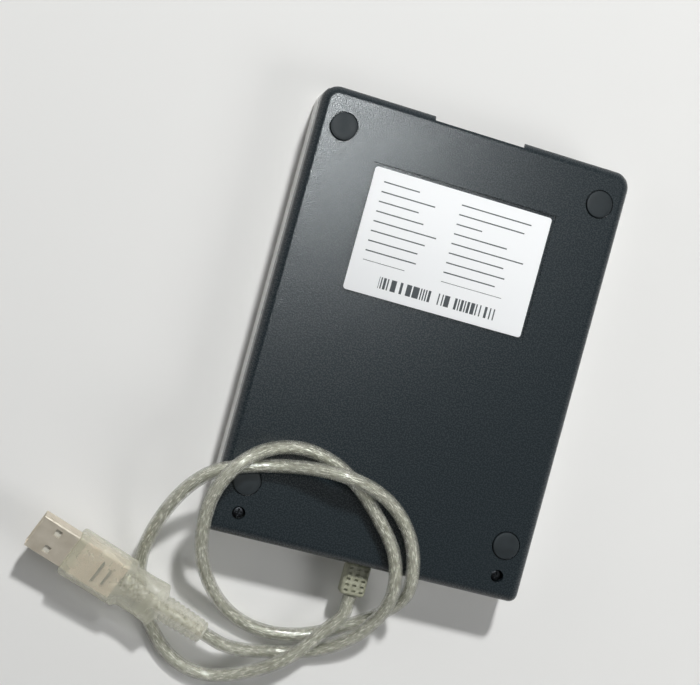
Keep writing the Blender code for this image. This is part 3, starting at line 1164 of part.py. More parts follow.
def make_strain_relief():
    """The moulded block where the cable leaves: outer body with slots, neck and inner flange."""
    half_width, half_height = RELIEF_WIDTH / 2, RELIEF_HEIGHT / 2
    start = REAR + GAP
    relief = block("cord_strain_relief", (-half_width, start, CORD_Z - half_height),
                   (half_width, start + RELIEF_LENGTH, CORD_Z + half_height), clear_vinyl(),
                   RELIEF_BEVEL)
    neck_x, neck_z = half_width - RELIEF_STEP, half_height - RELIEF_STEP
    flange_rear = INNER_REAR - GAP
    fuse_block(relief, (-neck_x, flange_rear - RELIEF_FLANGE / 2, CORD_Z - neck_z),
               (neck_x, start + RELIEF_LENGTH / 2, CORD_Z + neck_z))
    fuse_block(relief, (-half_width, flange_rear - RELIEF_FLANGE, CORD_Z - half_height),
               (half_width, flange_rear, CORD_Z + half_height))
    pitch_y = (RELIEF_LENGTH - 2 * RELIEF_SLOT_MARGIN) / (RELIEF_ROWS - 1)
    pitch_x = (RELIEF_WIDTH - 2 * RELIEF_SLOT_MARGIN) / (RELIEF_COLUMNS - 1)
    shape = bmesh.new()
    for row in range(RELIEF_ROWS):
        for column in range(RELIEF_COLUMNS):
            for side in (-1, 1):
                made = bmesh.ops.create_cube(shape, size=1.0)["verts"]
                bmesh.ops.scale(shape, vec=(RELIEF_SLOT_WIDTH, RELIEF_SLOT_LENGTH,
                                            2 * RELIEF_SLOT_DEPTH), verts=made)
                bmesh.ops.translate(shape, verts=made, vec=(
                    (column - (RELIEF_COLUMNS - 1) / 2) * pitch_x,
                    start + RELIEF_SLOT_MARGIN + row * pitch_y, CORD_Z + side * half_height))
    cut(relief, add_object("relief_slots", mesh_from("relief_slots", shape), clear_vinyl()))


def smooth_curve(route, first_way, last_way, count):
    """Read count evenly spaced points from a cubic spline with given directions at its ends."""
    steps = np.linalg.norm(np.diff(route, axis=0), axis=1)
    knots = np.concatenate([[0.0], np.cumsum(steps)])
    last = len(route) - 1
    matrix = np.zeros((last + 1, last + 1))
    right = np.zeros_like(route)
    matrix[0, :2] = 2 * steps[0], steps[0]
    matrix[last, -2:] = steps[-1], 2 * steps[-1]
    right[0] = 6 * ((route[1] - route[0]) / steps[0] - first_way)
    right[last] = 6 * (last_way - (route[-1] - route[-2]) / steps[-1])
    for i in range(1, last):
        matrix[i, i - 1:i + 2] = steps[i - 1], 2 * (steps[i - 1] + steps[i]), steps[i]
        right[i] = 6 * ((route[i + 1] - route[i]) / steps[i] - (route[i] - route[i - 1]) / steps[i - 1])
    bend = np.linalg.solve(matrix, right)

    def place(t):
        i = np.clip(np.searchsorted(knots, t, side="right") - 1, 0, last - 1)
        h = steps[i][:, None]
        a = (knots[i + 1] - t)[:, None] / h
        b = 1 - a
        return (a * route[i] + b * route[i + 1]
                + ((a ** 3 - a) * bend[i] + (b ** 3 - b) * bend[i + 1]) * h ** 2 / 6)

    fine_t = np.linspace(0.0, knots[-1], 40 * last)
    fine = place(fine_t)
    run = np.concatenate([[0.0], np.cumsum(np.linalg.norm(np.diff(fine, axis=0), axis=1))])
    return place(np.interp(np.linspace(0.0, run[-1], count), run, fine_t))


def least_self_gap(points, radius):
    """The least clear distance between stretches of the tube that are not neighbours."""
    fine = np.concatenate([np.linspace(a, b, 6, endpoint=False) for a, b in zip(points, points[1:])])
    run = np.concatenate([[0.0], np.cumsum(np.linalg.norm(np.diff(fine, axis=0), axis=1))])
    apart = np.linalg.norm(fine[:, None] - fine[None], axis=2)
    near = np.abs(run[:, None] - run[None]) < NEIGHBOUR_SHARE * 2 * radius
    return float(np.where(near, np.inf, apart).min() - 2 * radius)


def make_cord():
    """The free cable, in the two loose loops that it lies in."""
    start = np.array((0.0, REAR + GAP + RELIEF_LENGTH + GAP, CORD_Z))
    end = np.array(PLUG_REAR)
    first_way = np.array((0.0, 1.0, 0.0))
    last_way = np.array(Vector(PLUG_DIRECTION).normalized())
    first, last = start + first_way * CORD_STRAIGHT, end - last_way * CORD_STRAIGHT
    route = np.vstack([first, np.array(CORD_ROUTE_MM) * MM, last])
    curve = smooth_curve(route, first_way, last_way, CORD_POINT_COUNT - 2)
    points = np.vstack([start, curve, end])
    length = np.linalg.norm(np.diff(points, axis=0), axis=1).sum()
    tube("cord", points, CORD_RADIUS, clear_vinyl())
    print(f"cord: length {length / MM:.0f} mm, "
          f"least gap to itself {least_self_gap(points, CORD_RADIUS) / MM:.2f} mm")


def make_cord_lead():
    """The inner lead from the strain relief to its connector on the interface board."""
    chip("cord_connector", 0.0, CONNECTOR_Y, CONNECTOR_WIDTH, CONNECTOR_LENGTH, white_nylon(),
         CONNECTOR_HEIGHT)
    start = Vector((0.0, INNER_REAR - GAP - RELIEF_FLANGE - GAP, CORD_Z))
    end = Vector((0.0, CONNECTOR_Y + CONNECTOR_LENGTH / 2 + GAP,
                  CHIP_BOTTOM - CONNECTOR_HEIGHT / 2))
    bend = LEAD_RADIUS
    points = [start, start - Vector((0.0, bend, 0.0)), end + Vector((0.0, bend, 0.0)), end]
    tube("cord_lead", points, LEAD_RADIUS, clear_vinyl(), 2)


def plug_matrix():
    """The plug's frame: its local +Y points out of its tip and its origin is its rear end."""
    forward = Vector(PLUG_DIRECTION).normalized()
    across = forward.cross(Vector((0.0, 0.0, 1.0))).normalized()
    upward = across.cross(forward)
    frame = Matrix((across, forward, upward)).transposed()
    turned_frame = frame @ Matrix.Rotation(PLUG_ROLL, 3, "Y")
    return Matrix.Translation(Vector(PLUG_REAR) + forward * GAP) @ turned_frame.to_4x4()


def make_plug():
    """The plug, built upright at the origin and then carried to the cable's end by an empty."""
    before = set(PART.objects) | set(CUTTERS.objects)
    joint = SLEEVE_LENGTH + WAIST_LENGTH + BODY_LENGTH
    make_plug_overmould(joint)
    make_plug_shell(joint)
    holder = bpy.data.objects.new("plug_frame", None)
    CUTTERS.objects.link(holder)
    holder.matrix_world = plug_matrix()
    for thing in (set(PART.objects) | set(CUTTERS.objects)) - before - {holder}:
        thing.parent = holder


def make_plug_overmould(joint):
    """The clear moulding: wide body, waist and ribbed sleeve, with a pocket for the shell."""
    body = block("plug_overmould", (-BODY_WIDTH / 2, joint - BODY_LENGTH, -BODY_HEIGHT / 2),
                 (BODY_WIDTH / 2, joint, BODY_HEIGHT / 2), clear_vinyl(), BODY_BEVEL, 3)
    fuse(body, block("waist", (-WAIST_WIDTH / 2, SLEEVE_LENGTH, -WAIST_HEIGHT / 2),
                     (WAIST_WIDTH / 2, joint - BODY_LENGTH / 2, WAIST_HEIGHT / 2), clear_vinyl(),
                     BODY_BEVEL, 3))
    top = SLEEVE_LENGTH + WAIST_LENGTH / 2
    profile = [(0.0, top), (SLEEVE_RADIUS, top), (SLEEVE_RADIUS, SLEEVE_LENGTH)]
    pitch = SLEEVE_LENGTH / SLEEVE_RIBS
    for i in range(SLEEVE_RIBS):
        level = SLEEVE_LENGTH - i * pitch
        share = level / SLEEVE_LENGTH
        radius = SLEEVE_END_RADIUS + (SLEEVE_RADIUS - SLEEVE_END_RADIUS) * share
        profile += [(radius - SLEEVE_RIB_DEPTH, level - pitch / 2)]
        profile += [(radius, level - pitch)]
    profile.append((0.0, 0.0))
    fuse(body, turned("sleeve", profile, (0.0, 0.0, 0.0), clear_vinyl(), 20,
                      turn=(-math.pi / 2, 0.0, 0.0)))
    inside = PLUG_SHELL_LENGTH - PLUG_EXPOSED + GAP
    half_width, half_height = PLUG_SHELL_WIDTH / 2 + GAP, PLUG_SHELL_HEIGHT / 2 + GAP
    cut_block(body, (-half_width, joint - inside, -half_height),
              (half_width, joint + OVERRUN, half_height))
    shield_x, shield_z = SHIELD_WIDTH / 2 + GAP, SHIELD_HEIGHT / 2 + GAP
    cut_block(body, (-shield_x, joint - inside - SHIELD_LENGTH - GAP, -shield_z),
              (shield_x, joint, shield_z))
    block("plug_shield", (-SHIELD_WIDTH / 2, joint - inside - SHIELD_LENGTH, -SHIELD_HEIGHT / 2),
          (SHIELD_WIDTH / 2, joint - inside, SHIELD_HEIGHT / 2), nickel())


def make_plug_shell(joint):
    """The plug's metal shell with its four square holes, and the tongue inside it."""
    rear, tip = joint - (PLUG_SHELL_LENGTH - PLUG_EXPOSED), joint + PLUG_EXPOSED
    half_width, half_height = PLUG_SHELL_WIDTH / 2, PLUG_SHELL_HEIGHT / 2
    shell = block("plug_shell", (-half_width, rear, -half_height), (half_width, tip, half_height),
                  nickel(), PLUG_SHELL_BEVEL, 1)
    cut_block(shell, (PLUG_SHELL_WALL - half_width, rear - OVERRUN, PLUG_SHELL_WALL - half_height),
              (half_width - PLUG_SHELL_WALL, tip + OVERRUN, half_height - PLUG_SHELL_WALL))
    hole_y = joint + PLUG_HOLE_Y
    for x in mirrored(PLUG_HOLE_SPACING / 2):
        cut_block(shell, (x - PLUG_HOLE_WIDTH / 2, hole_y, -half_height - OVERRUN),
                  (x + PLUG_HOLE_WIDTH / 2, hole_y + PLUG_HOLE_LENGTH, half_height + OVERRUN))
    high = half_height - PLUG_SHELL_WALL - GAP
    block("plug_tongue", (-TONGUE_WIDTH / 2, rear + GAP, high - TONGUE_HEIGHT),
          (TONGUE_WIDTH / 2, tip - TONGUE_SETBACK, high), white_nylon())


def main():
    start_empty()
    make_bottom_shell()
    make_top_cover()
    make_feet()
    make_label()
    make_case_screws()
    make_front_bezel()
    make_light_pipe()
    make_dust_door()
    make_eject_button()
    make_slider_plate()
    make_disk_cradle()
    make_shutter_lever()
    make_drive_chassis()
    make_eject_spring()
    make_chassis_screws()
    make_spindle()
    make_boards()
    make_guide_rods()
    make_head_carriage()
    make_upper_head_arm()
    make_screw_drive()
    make_switches()
    make_strain_relief()
    make_cord()
    make_cord_lead()
    make_plug()


main()
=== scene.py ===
"""An external floppy disk drive that lies on its lid, with its clear cable in two loose loops.

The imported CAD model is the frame. The pieces that show are new surfaces in its places, and the
pieces of the mechanism are merged copies of its solids. Lengths are in metres, and MM turns
millimetres into them. The underside faces up, the front faces -Y and the cable leaves at +Y.
"""

import json
import math
from itertools import product

import bmesh
import bpy
import numpy as np
from mathutils import Matrix, Vector

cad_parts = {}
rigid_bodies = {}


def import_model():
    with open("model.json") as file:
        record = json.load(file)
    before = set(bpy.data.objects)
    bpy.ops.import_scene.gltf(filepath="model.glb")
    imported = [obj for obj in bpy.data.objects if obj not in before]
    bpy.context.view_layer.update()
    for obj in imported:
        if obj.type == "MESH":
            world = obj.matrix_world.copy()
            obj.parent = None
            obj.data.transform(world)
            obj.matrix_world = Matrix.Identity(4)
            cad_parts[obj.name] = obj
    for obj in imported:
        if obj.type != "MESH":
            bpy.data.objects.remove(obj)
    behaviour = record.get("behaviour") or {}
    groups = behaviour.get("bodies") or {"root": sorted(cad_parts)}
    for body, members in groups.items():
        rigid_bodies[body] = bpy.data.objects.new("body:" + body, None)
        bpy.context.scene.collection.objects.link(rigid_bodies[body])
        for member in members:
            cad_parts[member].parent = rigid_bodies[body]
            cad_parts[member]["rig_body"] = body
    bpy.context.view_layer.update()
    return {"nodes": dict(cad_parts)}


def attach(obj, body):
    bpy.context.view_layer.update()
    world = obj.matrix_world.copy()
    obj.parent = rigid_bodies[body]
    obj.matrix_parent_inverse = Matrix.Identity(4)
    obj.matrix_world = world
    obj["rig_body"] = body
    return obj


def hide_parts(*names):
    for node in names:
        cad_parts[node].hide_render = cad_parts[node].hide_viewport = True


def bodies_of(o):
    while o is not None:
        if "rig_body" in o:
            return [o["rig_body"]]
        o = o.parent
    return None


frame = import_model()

bl_info = {
    "name": "External Floppy Drive",
    "version": (1, 0, 0),
    "blender": (4, 5, 0),
    "location": "View3D > Sidebar > Floppy Drive",
    "description": "Dresses the packed floppy drive with its case, cable, plug and mechanism",
    "category": "Object",
}

MM = 0.001

# Places and sizes in millimetres
CASE_HALF_X, CASE_HALF_Y = 51.5, 71.0
CORNER = 5.3
# The underside's corners at (+X, +Y), (-X, +Y), (-X, -Y) and (+X, -Y)
SHELL_CORNERS = (1.6, 2.8, 5.3, 5.3)
WALL = 1.6
LID_TOP, SHELL_LOW, SHELL_HIGH, POST_TOP = 11.0, 11.3, 18.0, 17.2
GROOVE_DEPTH, GROOVE_LOW, GROOVE_HIGH = 0.45, 5.15, 5.85
NOTCH_X, NOTCH_HALF, NOTCH_BACK = 0.6, 14.95, 1.85
FOOT_X, FOOT_Y = {"left": -42.75, "right": 42.75}, {"front": -59.0, "rear": 53.55}
SCREW_X, SCREW_Y = {"left": -42.6, "right": 42.6}, 63.65
POSTS = [(x, y) for x in (-44.0, 44.0) for y in (-60.5, 40.0)]
BOSS_RADIUS, POST_RADIUS = 3.1, 2.6
RELIEF_Z = 9.0
SLEEVE, SLEEVE_RIBS = 15.5, 8
PLUG_GAP, PLUG_ROLL = 0.3, -14
CORD_START = (0.0, 82.0, 9.0)
CORD_END = (42.2, 104.1, 9.0)
CORD_WAY = (0.940, -0.337, 0.056)
CORD_STRAIGHT = 4.5
CORD_ROUTE = (
    (3.6, 93.4, 8.5), (9.1, 100.9, 8.0),
    (16.8, 108.7, 7.2), (25.7, 114.7, 4.2), (36.1, 118.2, 2.5), (46.9, 116.5, 2.4),
    (55.7, 109.9, 2.5), (62.2, 100.9, 2.4), (66.1, 90.6, 3.0), (66.5, 80.4, 6.9),
    (64.6, 70.9, 12.4), (61.1, 61.8, 17.6), (54.4, 53.5, 20.3), (44.5, 48.8, 20.7),
    (33.7, 46.1, 20.9), (23.2, 44.2, 23.9), (12.5, 44.2, 26.1), (2.3, 46.9, 23.9),
    (-6.8, 52.9, 20.9), (-12.9, 62.0, 21.0), (-15.4, 72.4, 19.7), (-15.2, 80.8, 11.2),
    (-10.1, 88.0, 4.6), (-1.2, 94.0, 2.5), (8.9, 98.6, 2.4), (19.7, 100.7, 2.4),
    (30.7, 99.2, 2.4), (39.8, 93.6, 5.1), (46.2, 86.0, 9.9), (50.4, 77.5, 15.5),
    (52.4, 67.7, 20.4), (51.8, 57.2, 24.4), (46.9, 47.6, 26.1), (38.3, 41.5, 22.6),
    (27.7, 39.5, 20.7), (16.9, 42.0, 20.7), (7.6, 47.9, 20.7), (-0.5, 55.5, 20.8),
    (-7.3, 64.2, 20.8), (-10.6, 74.5, 19.5), (-10.7, 84.0, 13.4), (-7.1, 92.7, 8.3),
    (0.2, 100.2, 4.3), (10.1, 104.8, 2.4), (21.0, 107.0, 2.7), (31.4, 107.2, 6.6),
)
# The camera fitted to the picture: focal length and sensor, place in millimetres, and directions
LENS, SENSOR = 66.605, 36.0
CAMERA_PLACE = (95.28143, 4.85300, 411.31398)
CAMERA_RIGHT = (-0.94868756, -0.26388071, 0.17423799)
CAMERA_DOWN = (-0.25979182, 0.96455438, 0.04629320)
CAMERA_AHEAD = (-0.18027790, -0.00134782, -0.98361479)
# Name, place and width in metres, and power in watts of each lamp
LAMPS = (("key", (-0.05, -0.95, 1.03), 0.12, 17.6),
         ("right fill", (-0.52, 0.16, 0.46), 0.36, 1.3),
         ("left fill", (0.70, -0.05, 0.36), 0.4, 0.45))
SOFTBOX, SOFTBOX_COLOUR = ("softbox", (-0.012, -0.26, 1.0), 0.11, 4.6), (0.93, 0.985, 1.0)
# Levels of the room: its diffuse light, what gloss mirrors low and high, and the backdrop
ROOM_LEVEL, MIRROR_LOW, MIRROR_HIGH = 0.12, 0.85, 0.04
BACKDROP, BACKDROP_LEVEL = (1.0, 1.0, 0.99, 1.0), 0.8
FLOOR_REACH, FLOOR_LEVEL = 1.6, -0.02 * MM
FADE_FROM, FADE_TO = 0.3, 0.75
# Edges that turn by more than this are sharp
SHARP = math.radians(32)


def linear(hex_colour):
    """Turn an sRGB hex colour into linear red, green, blue and alpha."""
    value = np.array([int(hex_colour[i:i + 2], 16) for i in (1, 3, 5)]) / 255
    level = np.where(value <= 0.04045, value / 12.92, ((value + 0.055) / 1.055) ** 2.4)
    return (*(float(x) for x in level), 1.0)


def colour_setting(name, description, hex_colour):
    """A colour property whose default is a hex colour."""
    return bpy.props.FloatVectorProperty(name=name, description=description, subtype="COLOR",
                                         size=4, min=0.0, max=1.0, default=linear(hex_colour))


def length_setting(name, description, millimetres):
    """A length property in metres whose default is given in millimetres."""
    return bpy.props.FloatProperty(name=name, description=description, unit="LENGTH",
                                   subtype="DISTANCE", min=0.0, precision=5,
                                   default=millimetres * MM)


class DriveSizes(bpy.types.PropertyGroup):
    """Sizes of the drive that can change without moving a piece of the frame."""

    case_edge: length_setting("Underside edge", "Radius of the underside's rounded rim", 2.9)
    lid_edge: length_setting("Lid edge", "Radius of the lid's rounded rim", 1.5)
    case_grain: length_setting("Case grain", "Width of one bump of the moulded texture", 0.42)
    label_corner: length_setting("Label corner", "Radius of the label's corners", 1.0)
    rule_pitch: length_setting("Rule pitch", "Distance between the label's plain rules", 3.1)
    cord_jacket: length_setting("Cable jacket", "Radius of the cable's clear jacket", 2.2)
    cord_core: length_setting("Cable core", "Radius of the foil and braid in the cable", 1.5)


class DriveColours(bpy.types.PropertyGroup):
    """Colours of the drive's main finishes and of the floor."""

    case: colour_setting("Case", "Charcoal plastic of the underside and front", "#21292d")
    lid: colour_setting("Lid", "Pale grey plastic of the lid and button", "#e2e2e0")
    rubber: colour_setting("Feet", "Rubber of the feet", "#22282b")
    label: colour_setting("Label", "Face of the bare label", "#f1f3f4")
    rule: colour_setting("Rules", "Plain rules on the label", "#4a4f52")
    foil: colour_setting("Cable foil", "Pale side of the foil under the jacket", "#f0f0e8")
    vinyl: colour_setting("Vinyl", "Clear vinyl of the plug", "#dddccb")
    floor: colour_setting("Floor", "Table top under the drive", "#e5e5e3")


def sizes():
    """The sizes that are set in the sidebar."""
    return bpy.context.scene.drive_sizes


def colours():
    """The colours that are set in the sidebar."""
    return bpy.context.scene.drive_colours


# Shapes


def eased(value, start=0.0, length=1.0):
    """A share t that rises from 0 at start to 1 a length further on, as t t (3 - 2 t)."""
    share = np.clip((value - start) / length, 0, 1)
    return share * share * (3 - 2 * share)


def run_along(path):
    """Distance along a path from its start to each of its points."""
    steps = np.linalg.norm(np.diff(path, axis=0), axis=1)
    return np.concatenate([[0.0], np.cumsum(steps)])


def rounded_outline(half_x, half_y, radius, steps):
    """Rounded rectangles, one row each: a quarter circle about each corner's centre, which
    stands its radius inside both sides, and straight sides between the quarters. The radius is
    one for a row, or four, one for each corner."""
    half_x, half_y = (np.atleast_1d(np.asarray(v, float))[:, None, None]
                      for v in (half_x, half_y))
    radius = np.atleast_1d(np.asarray(radius, float))
    radius = radius.reshape(len(radius), -1, 1)
    turn = (np.linspace(0, np.pi / 2, steps + 1)[None, None, :]
            + np.arange(4)[None, :, None] * np.pi / 2)
    sign_x = np.array((1, -1, -1, 1))[None, :, None]
    sign_y = np.array((1, 1, -1, -1))[None, :, None]
    x = sign_x * (half_x - radius) + radius * np.cos(turn)
    y = sign_y * (half_y - radius) + radius * np.sin(turn)
    return np.stack(np.broadcast_arrays(x, y), -1).reshape(len(x), -1, 2)


def surface(name, grid, material, closed=False):
    """A closed body from a grid of rings: each cell between two rings and two columns is a face,
    and the end rings are flat faces, or meet each other where the body is closed like a tyre.
    The faces are turned outwards by the sign of the volume that they hold."""
    rows, columns = grid.shape[:2]
    points = grid.reshape(-1, 3)
    i, j = np.meshgrid(np.arange(rows if closed else rows - 1), np.arange(columns), indexing="ij")
    below, above = i * columns, (i + 1) % rows * columns
    after = (j + 1) % columns
    quads = np.stack((below + j, below + after, above + after, above + j), -1).reshape(-1, 4)
    a, b, c, d = (points[quads[:, k]] for k in range(4))
    volume = (np.cross(a, b) * c).sum() + (np.cross(a, c) * d).sum()
    faces = quads.tolist()
    if not closed:
        first, last = np.arange(columns)[::-1], np.arange(columns) + (rows - 1) * columns
        for ring in (first, last):
            p = points[ring]
            volume += (np.cross(p[0], p[1:-1]) * p[2:]).sum()
            faces.append(ring.tolist())
    if volume < 0:
        faces = [face[::-1] for face in faces]
    mesh = bpy.data.meshes.new(name)
    mesh.from_pydata(points.tolist(), [], faces)
    mesh.materials.append(material)
    made = bpy.data.objects.new(name, mesh)
    bpy.context.scene.collection.objects.link(made)
    return made


def plate(name, low, high, corner, edge, material, axis=2, steps=4, corner_steps=6):
    """A block between two corners given in millimetres: rounded rectangles across the axis,
    drawn in by edge x (1 - sin t) where they stand edge x (1 - cos t) from each end."""
    low, high = np.array(low, float) * MM, np.array(high, float) * MM
    centre, half = (low + high) / 2, (high - low) / 2
    across, up = (axis + 1) % 3, (axis + 2) % 3
    bend = np.linspace(0, np.pi / 2, steps + 1) if edge else np.array([np.pi / 2])
    inset, rise = edge * MM * (1 - np.sin(bend)), edge * MM * (1 - np.cos(bend)) * bool(edge)
    inset = np.concatenate((inset, inset[::-1]))
    level = np.concatenate((rise - half[axis], half[axis] - rise[::-1]))
    ring = rounded_outline(half[across] - inset, half[up] - inset,
                           np.maximum(corner * MM - inset, 0.01 * MM), corner_steps)
    grid = np.empty((*ring.shape[:2], 3))
    grid[..., across], grid[..., up], grid[..., axis] = (
        centre[across] + ring[..., 0], centre[up] + ring[..., 1], centre[axis] + level[:, None])
    return surface(name, grid, material)


def lathe(name, profile, place, material, axis=2, columns=48):
    """A profile of radius and height in millimetres carried once round an axis at place."""
    radius, height = np.array(profile, float).T * MM
    angle = np.linspace(0, 2 * np.pi, columns, endpoint=False)
    across, up = (axis + 1) % 3, (axis + 2) % 3
    grid = np.empty((len(radius), columns, 3))
    grid[..., across] = place[across] * MM + radius[:, None] * np.cos(angle)
    grid[..., up] = place[up] * MM + radius[:, None] * np.sin(angle)
    grid[..., axis] = place[axis] * MM + height[:, None]
    return surface(name, grid, material)


def quarter(centre_r, centre_h, radius, start, end, steps=6):
    """Points of radius and height on an arc about a centre, from one angle to another."""
    angle = np.radians(np.linspace(start, end, steps + 1))
    return np.stack((centre_r + radius * np.cos(angle), centre_h + radius * np.sin(angle)),
                    -1).tolist()


def way_along(path):
    """Unit directions of a path, and of its right and up sides, square to it at each point."""
    forward = np.gradient(path, axis=0)
    forward /= np.linalg.norm(forward, axis=1)[:, None]
    right = np.cross(forward, (0.0, 0.0, 1.0))
    right /= np.linalg.norm(right, axis=1)[:, None]
    return forward, right, np.cross(right, forward)


def swept(name, path, radius, material):
    """A circle carried along a path: path(s) + radius (right cos a + up sin a). Its attribute
    holds (radius cos a, radius sin a, s), in which a pattern follows the cable without a seam."""
    forward, right, up = way_along(path)
    angle = np.linspace(0, 2 * np.pi, 24, endpoint=False)
    radius = np.broadcast_to(np.asarray(radius, float), len(path))
    across = radius[:, None] * np.cos(angle)
    above = radius[:, None] * np.sin(angle)
    grid = path[:, None] + across[..., None] * right[:, None] + above[..., None] * up[:, None]
    made = surface(name, grid, material)
    run = np.broadcast_to(run_along(path)[:, None], across.shape)
    follow = np.stack((across, above, run), -1)
    made.data.attributes.new("follow", "FLOAT_VECTOR", "POINT").data.foreach_set(
        "vector", follow.astype(np.float32).ravel())
    return made


def smooth_curve(route, first_way, last_way, count):
    """Evenly spaced points of a cubic spline through a route, with given directions at its ends:
    its second derivatives solve the usual three-term equations, with chord lengths as knots."""
    steps = np.linalg.norm(np.diff(route, axis=0), axis=1)
    knots = run_along(route)
    last = len(route) - 1
    slope = np.diff(route, axis=0) / steps[:, None]
    matrix = (np.diag(2 * np.concatenate([steps[:1], steps[1:] + steps[:-1], steps[-1:]]))
              + np.diag(steps, 1) + np.diag(steps, -1))
    right = 6 * np.vstack([slope[:1] - first_way, np.diff(slope, axis=0), last_way - slope[-1:]])
    bend = np.linalg.solve(matrix, right)

    def place(t):
        """The cubic between two knots, from its ends and its second derivatives there."""
        i = np.clip(np.searchsorted(knots, t, side="right") - 1, 0, last - 1)
        h = steps[i][:, None]
        a = (knots[i + 1] - t)[:, None] / h
        b = 1 - a
        return (a * route[i] + b * route[i + 1]
                + ((a ** 3 - a) * bend[i] + (b ** 3 - b) * bend[i + 1]) * h ** 2 / 6)

    fine_t = np.linspace(0.0, knots[-1], 40 * last)
    run = run_along(place(fine_t))
    return place(np.interp(np.linspace(0.0, run[-1], count), run, fine_t))


def applied(piece):
    """Replace a piece's mesh by what its modifiers make of it."""
    shown = piece.evaluated_get(bpy.context.evaluated_depsgraph_get())
    mesh = bpy.data.meshes.new_from_object(shown)
    mesh.name = piece.name
    piece.modifiers.clear()
    piece.data = mesh
    return piece


def combined(piece, others, operation="DIFFERENCE"):
    """Cut other bodies out of a piece, or join them to it, and remove them."""
    for other in others:
        change = piece.modifiers.new(other.name, "BOOLEAN")
        change.operation, change.object, change.solver = operation, other, "EXACT"
    applied(piece)
    for other in others:
        bpy.data.objects.remove(other)
    return piece


def carried(piece, matrix):
    """Move a piece's points, and leave its object at the origin."""
    piece.data.transform(matrix)
    return piece


def finished(piece, body, nodes, bevel=0.0):
    """Shade a piece, round its sharp edges, tie it to its body, and hide the nodes that it stands
    in for.
    """
    piece.data.shade_smooth()
    piece.data.set_sharp_from_angle(angle=SHARP)
    if bevel:
        edge = piece.modifiers.new("edge", "BEVEL")
        edge.width, edge.segments, edge.limit_method = bevel * MM, 2, "ANGLE"
        edge.angle_limit, edge.harden_normals = SHARP, True
        piece.modifiers.new("shade", "WEIGHTED_NORMAL").keep_sharp = True
    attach(piece, body)
    if nodes:
        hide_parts(*nodes)
    return piece


def body_of(name):
    """The moving body that a solid of the frame rides on."""
    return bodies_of(frame["nodes"][name])[0]


def copied(node_name, name, material, bevel):
    """A copy of a solid of the frame with its loose triangles merged and its edges rounded."""
    mesh = frame["nodes"][node_name].data.copy()
    mesh.name = name
    mesh.materials.clear()
    mesh.materials.append(material)
    shape = bmesh.new()
    shape.from_mesh(mesh)
    bmesh.ops.remove_doubles(shape, verts=shape.verts, dist=1e-6)
    bmesh.ops.dissolve_limit(shape, angle_limit=math.radians(1), verts=shape.verts,
                             edges=shape.edges)
    shape.to_mesh(mesh)
    shape.free()
    piece = bpy.data.objects.new(name, mesh)
    bpy.context.scene.collection.objects.link(piece)
    return finished(piece, body_of(node_name), (node_name,), bevel)


def all_copied(names, ending, material, bevel):
    """Copies of several solids, each named after its solid with an ending."""
    for name in names:
        copied(name, f"{name}_{ending}", material, bevel)


# Finishes

MADE = {}


def node(tree, kind, inputs=None, **settings):
    """Add one node with its settings, and set or link its inputs."""
    made = tree.nodes.new("ShaderNode" + kind)
    for name, value in settings.items():
        setattr(made, name, value)
    for name, value in (inputs or {}).items():
        if isinstance(value, bpy.types.NodeSocket):
            tree.links.new(value, made.inputs[name])
        else:
            made.inputs[name].default_value = value
    return made


def emptied(block):
    """The node tree of a new material or world, with nothing in it."""
    block.use_nodes = True
    block.node_tree.nodes.clear()
    return block.node_tree


def grained(name, dark, pale, patch, grain, relief, rough, shader=None, coordinate="Object",
            stretch=(1, 1, 1), flat_only=False, contrast=(0.35, 0.65)):
    """A finish that drifts from dark to pale over patches, with bumps of a grain's width and
    relief, all in millimetres, and a roughness between two values. The colours are hex or
    linear. Stretch draws the pattern out, and flat_only fades the bumps to a quarter where the
    surface turns away from the vertical."""
    if name in MADE:
        return MADE[name]
    made = MADE[name] = bpy.data.materials.new(name)
    tree = emptied(made)
    dark, pale = (linear(c) if isinstance(c, str) else c for c in (dark, pale))
    if coordinate == "Object":
        place = node(tree, "TexCoord").outputs["Object"]
    else:
        place = node(tree, "Attribute", attribute_name=coordinate).outputs["Vector"]
    place = node(tree, "Mapping", {"Vector": place, "Scale": stretch}).outputs[0]
    patches = node(tree, "TexNoise", {"Vector": place, "Scale": 1 / (patch * MM), "Detail": 3.0})
    bumps = node(tree, "TexNoise", {"Vector": place, "Scale": 1 / (grain * MM), "Detail": 2.0})
    share = node(tree, "MapRange", {"Value": patches.outputs[0], "From Min": contrast[0],
                                    "From Max": contrast[1]}).outputs[0]
    colour = node(tree, "Mix", {0: share, 6: dark, 7: pale}, data_type="RGBA").outputs[2]
    roughness = node(tree, "MapRange", {"Value": share, "To Min": rough[0],
                                        "To Max": rough[1]}).outputs[0]
    height = bumps.outputs[0]
    if flat_only:
        facing = node(tree, "SeparateXYZ",
                      {"Vector": node(tree, "NewGeometry").outputs["Normal"]}).outputs["Z"]
        facing = node(tree, "Math", {0: facing}, operation="ABSOLUTE").outputs[0]
        fade = node(tree, "MapRange", {"Value": facing, "From Min": 0.9, "From Max": 0.995,
                                       "To Min": 0.25}).outputs[0]
        height = node(tree, "Math", {0: height, 1: fade}, operation="MULTIPLY").outputs[0]
    bump = node(tree, "Bump", {"Height": height, "Distance": relief * MM}).outputs[0]
    look = node(tree, "BsdfPrincipled", {"Base Color": colour, "Roughness": roughness,
                                         "Normal": bump, **(shader or {})})
    node(tree, "OutputMaterial", {"Surface": look.outputs[0]})
    return made


def shade(colour, share):
    """A colour made darker or lighter by a share of its linear value."""
    return (*(min(1.0, c * share) for c in colour[:3]), 1.0)


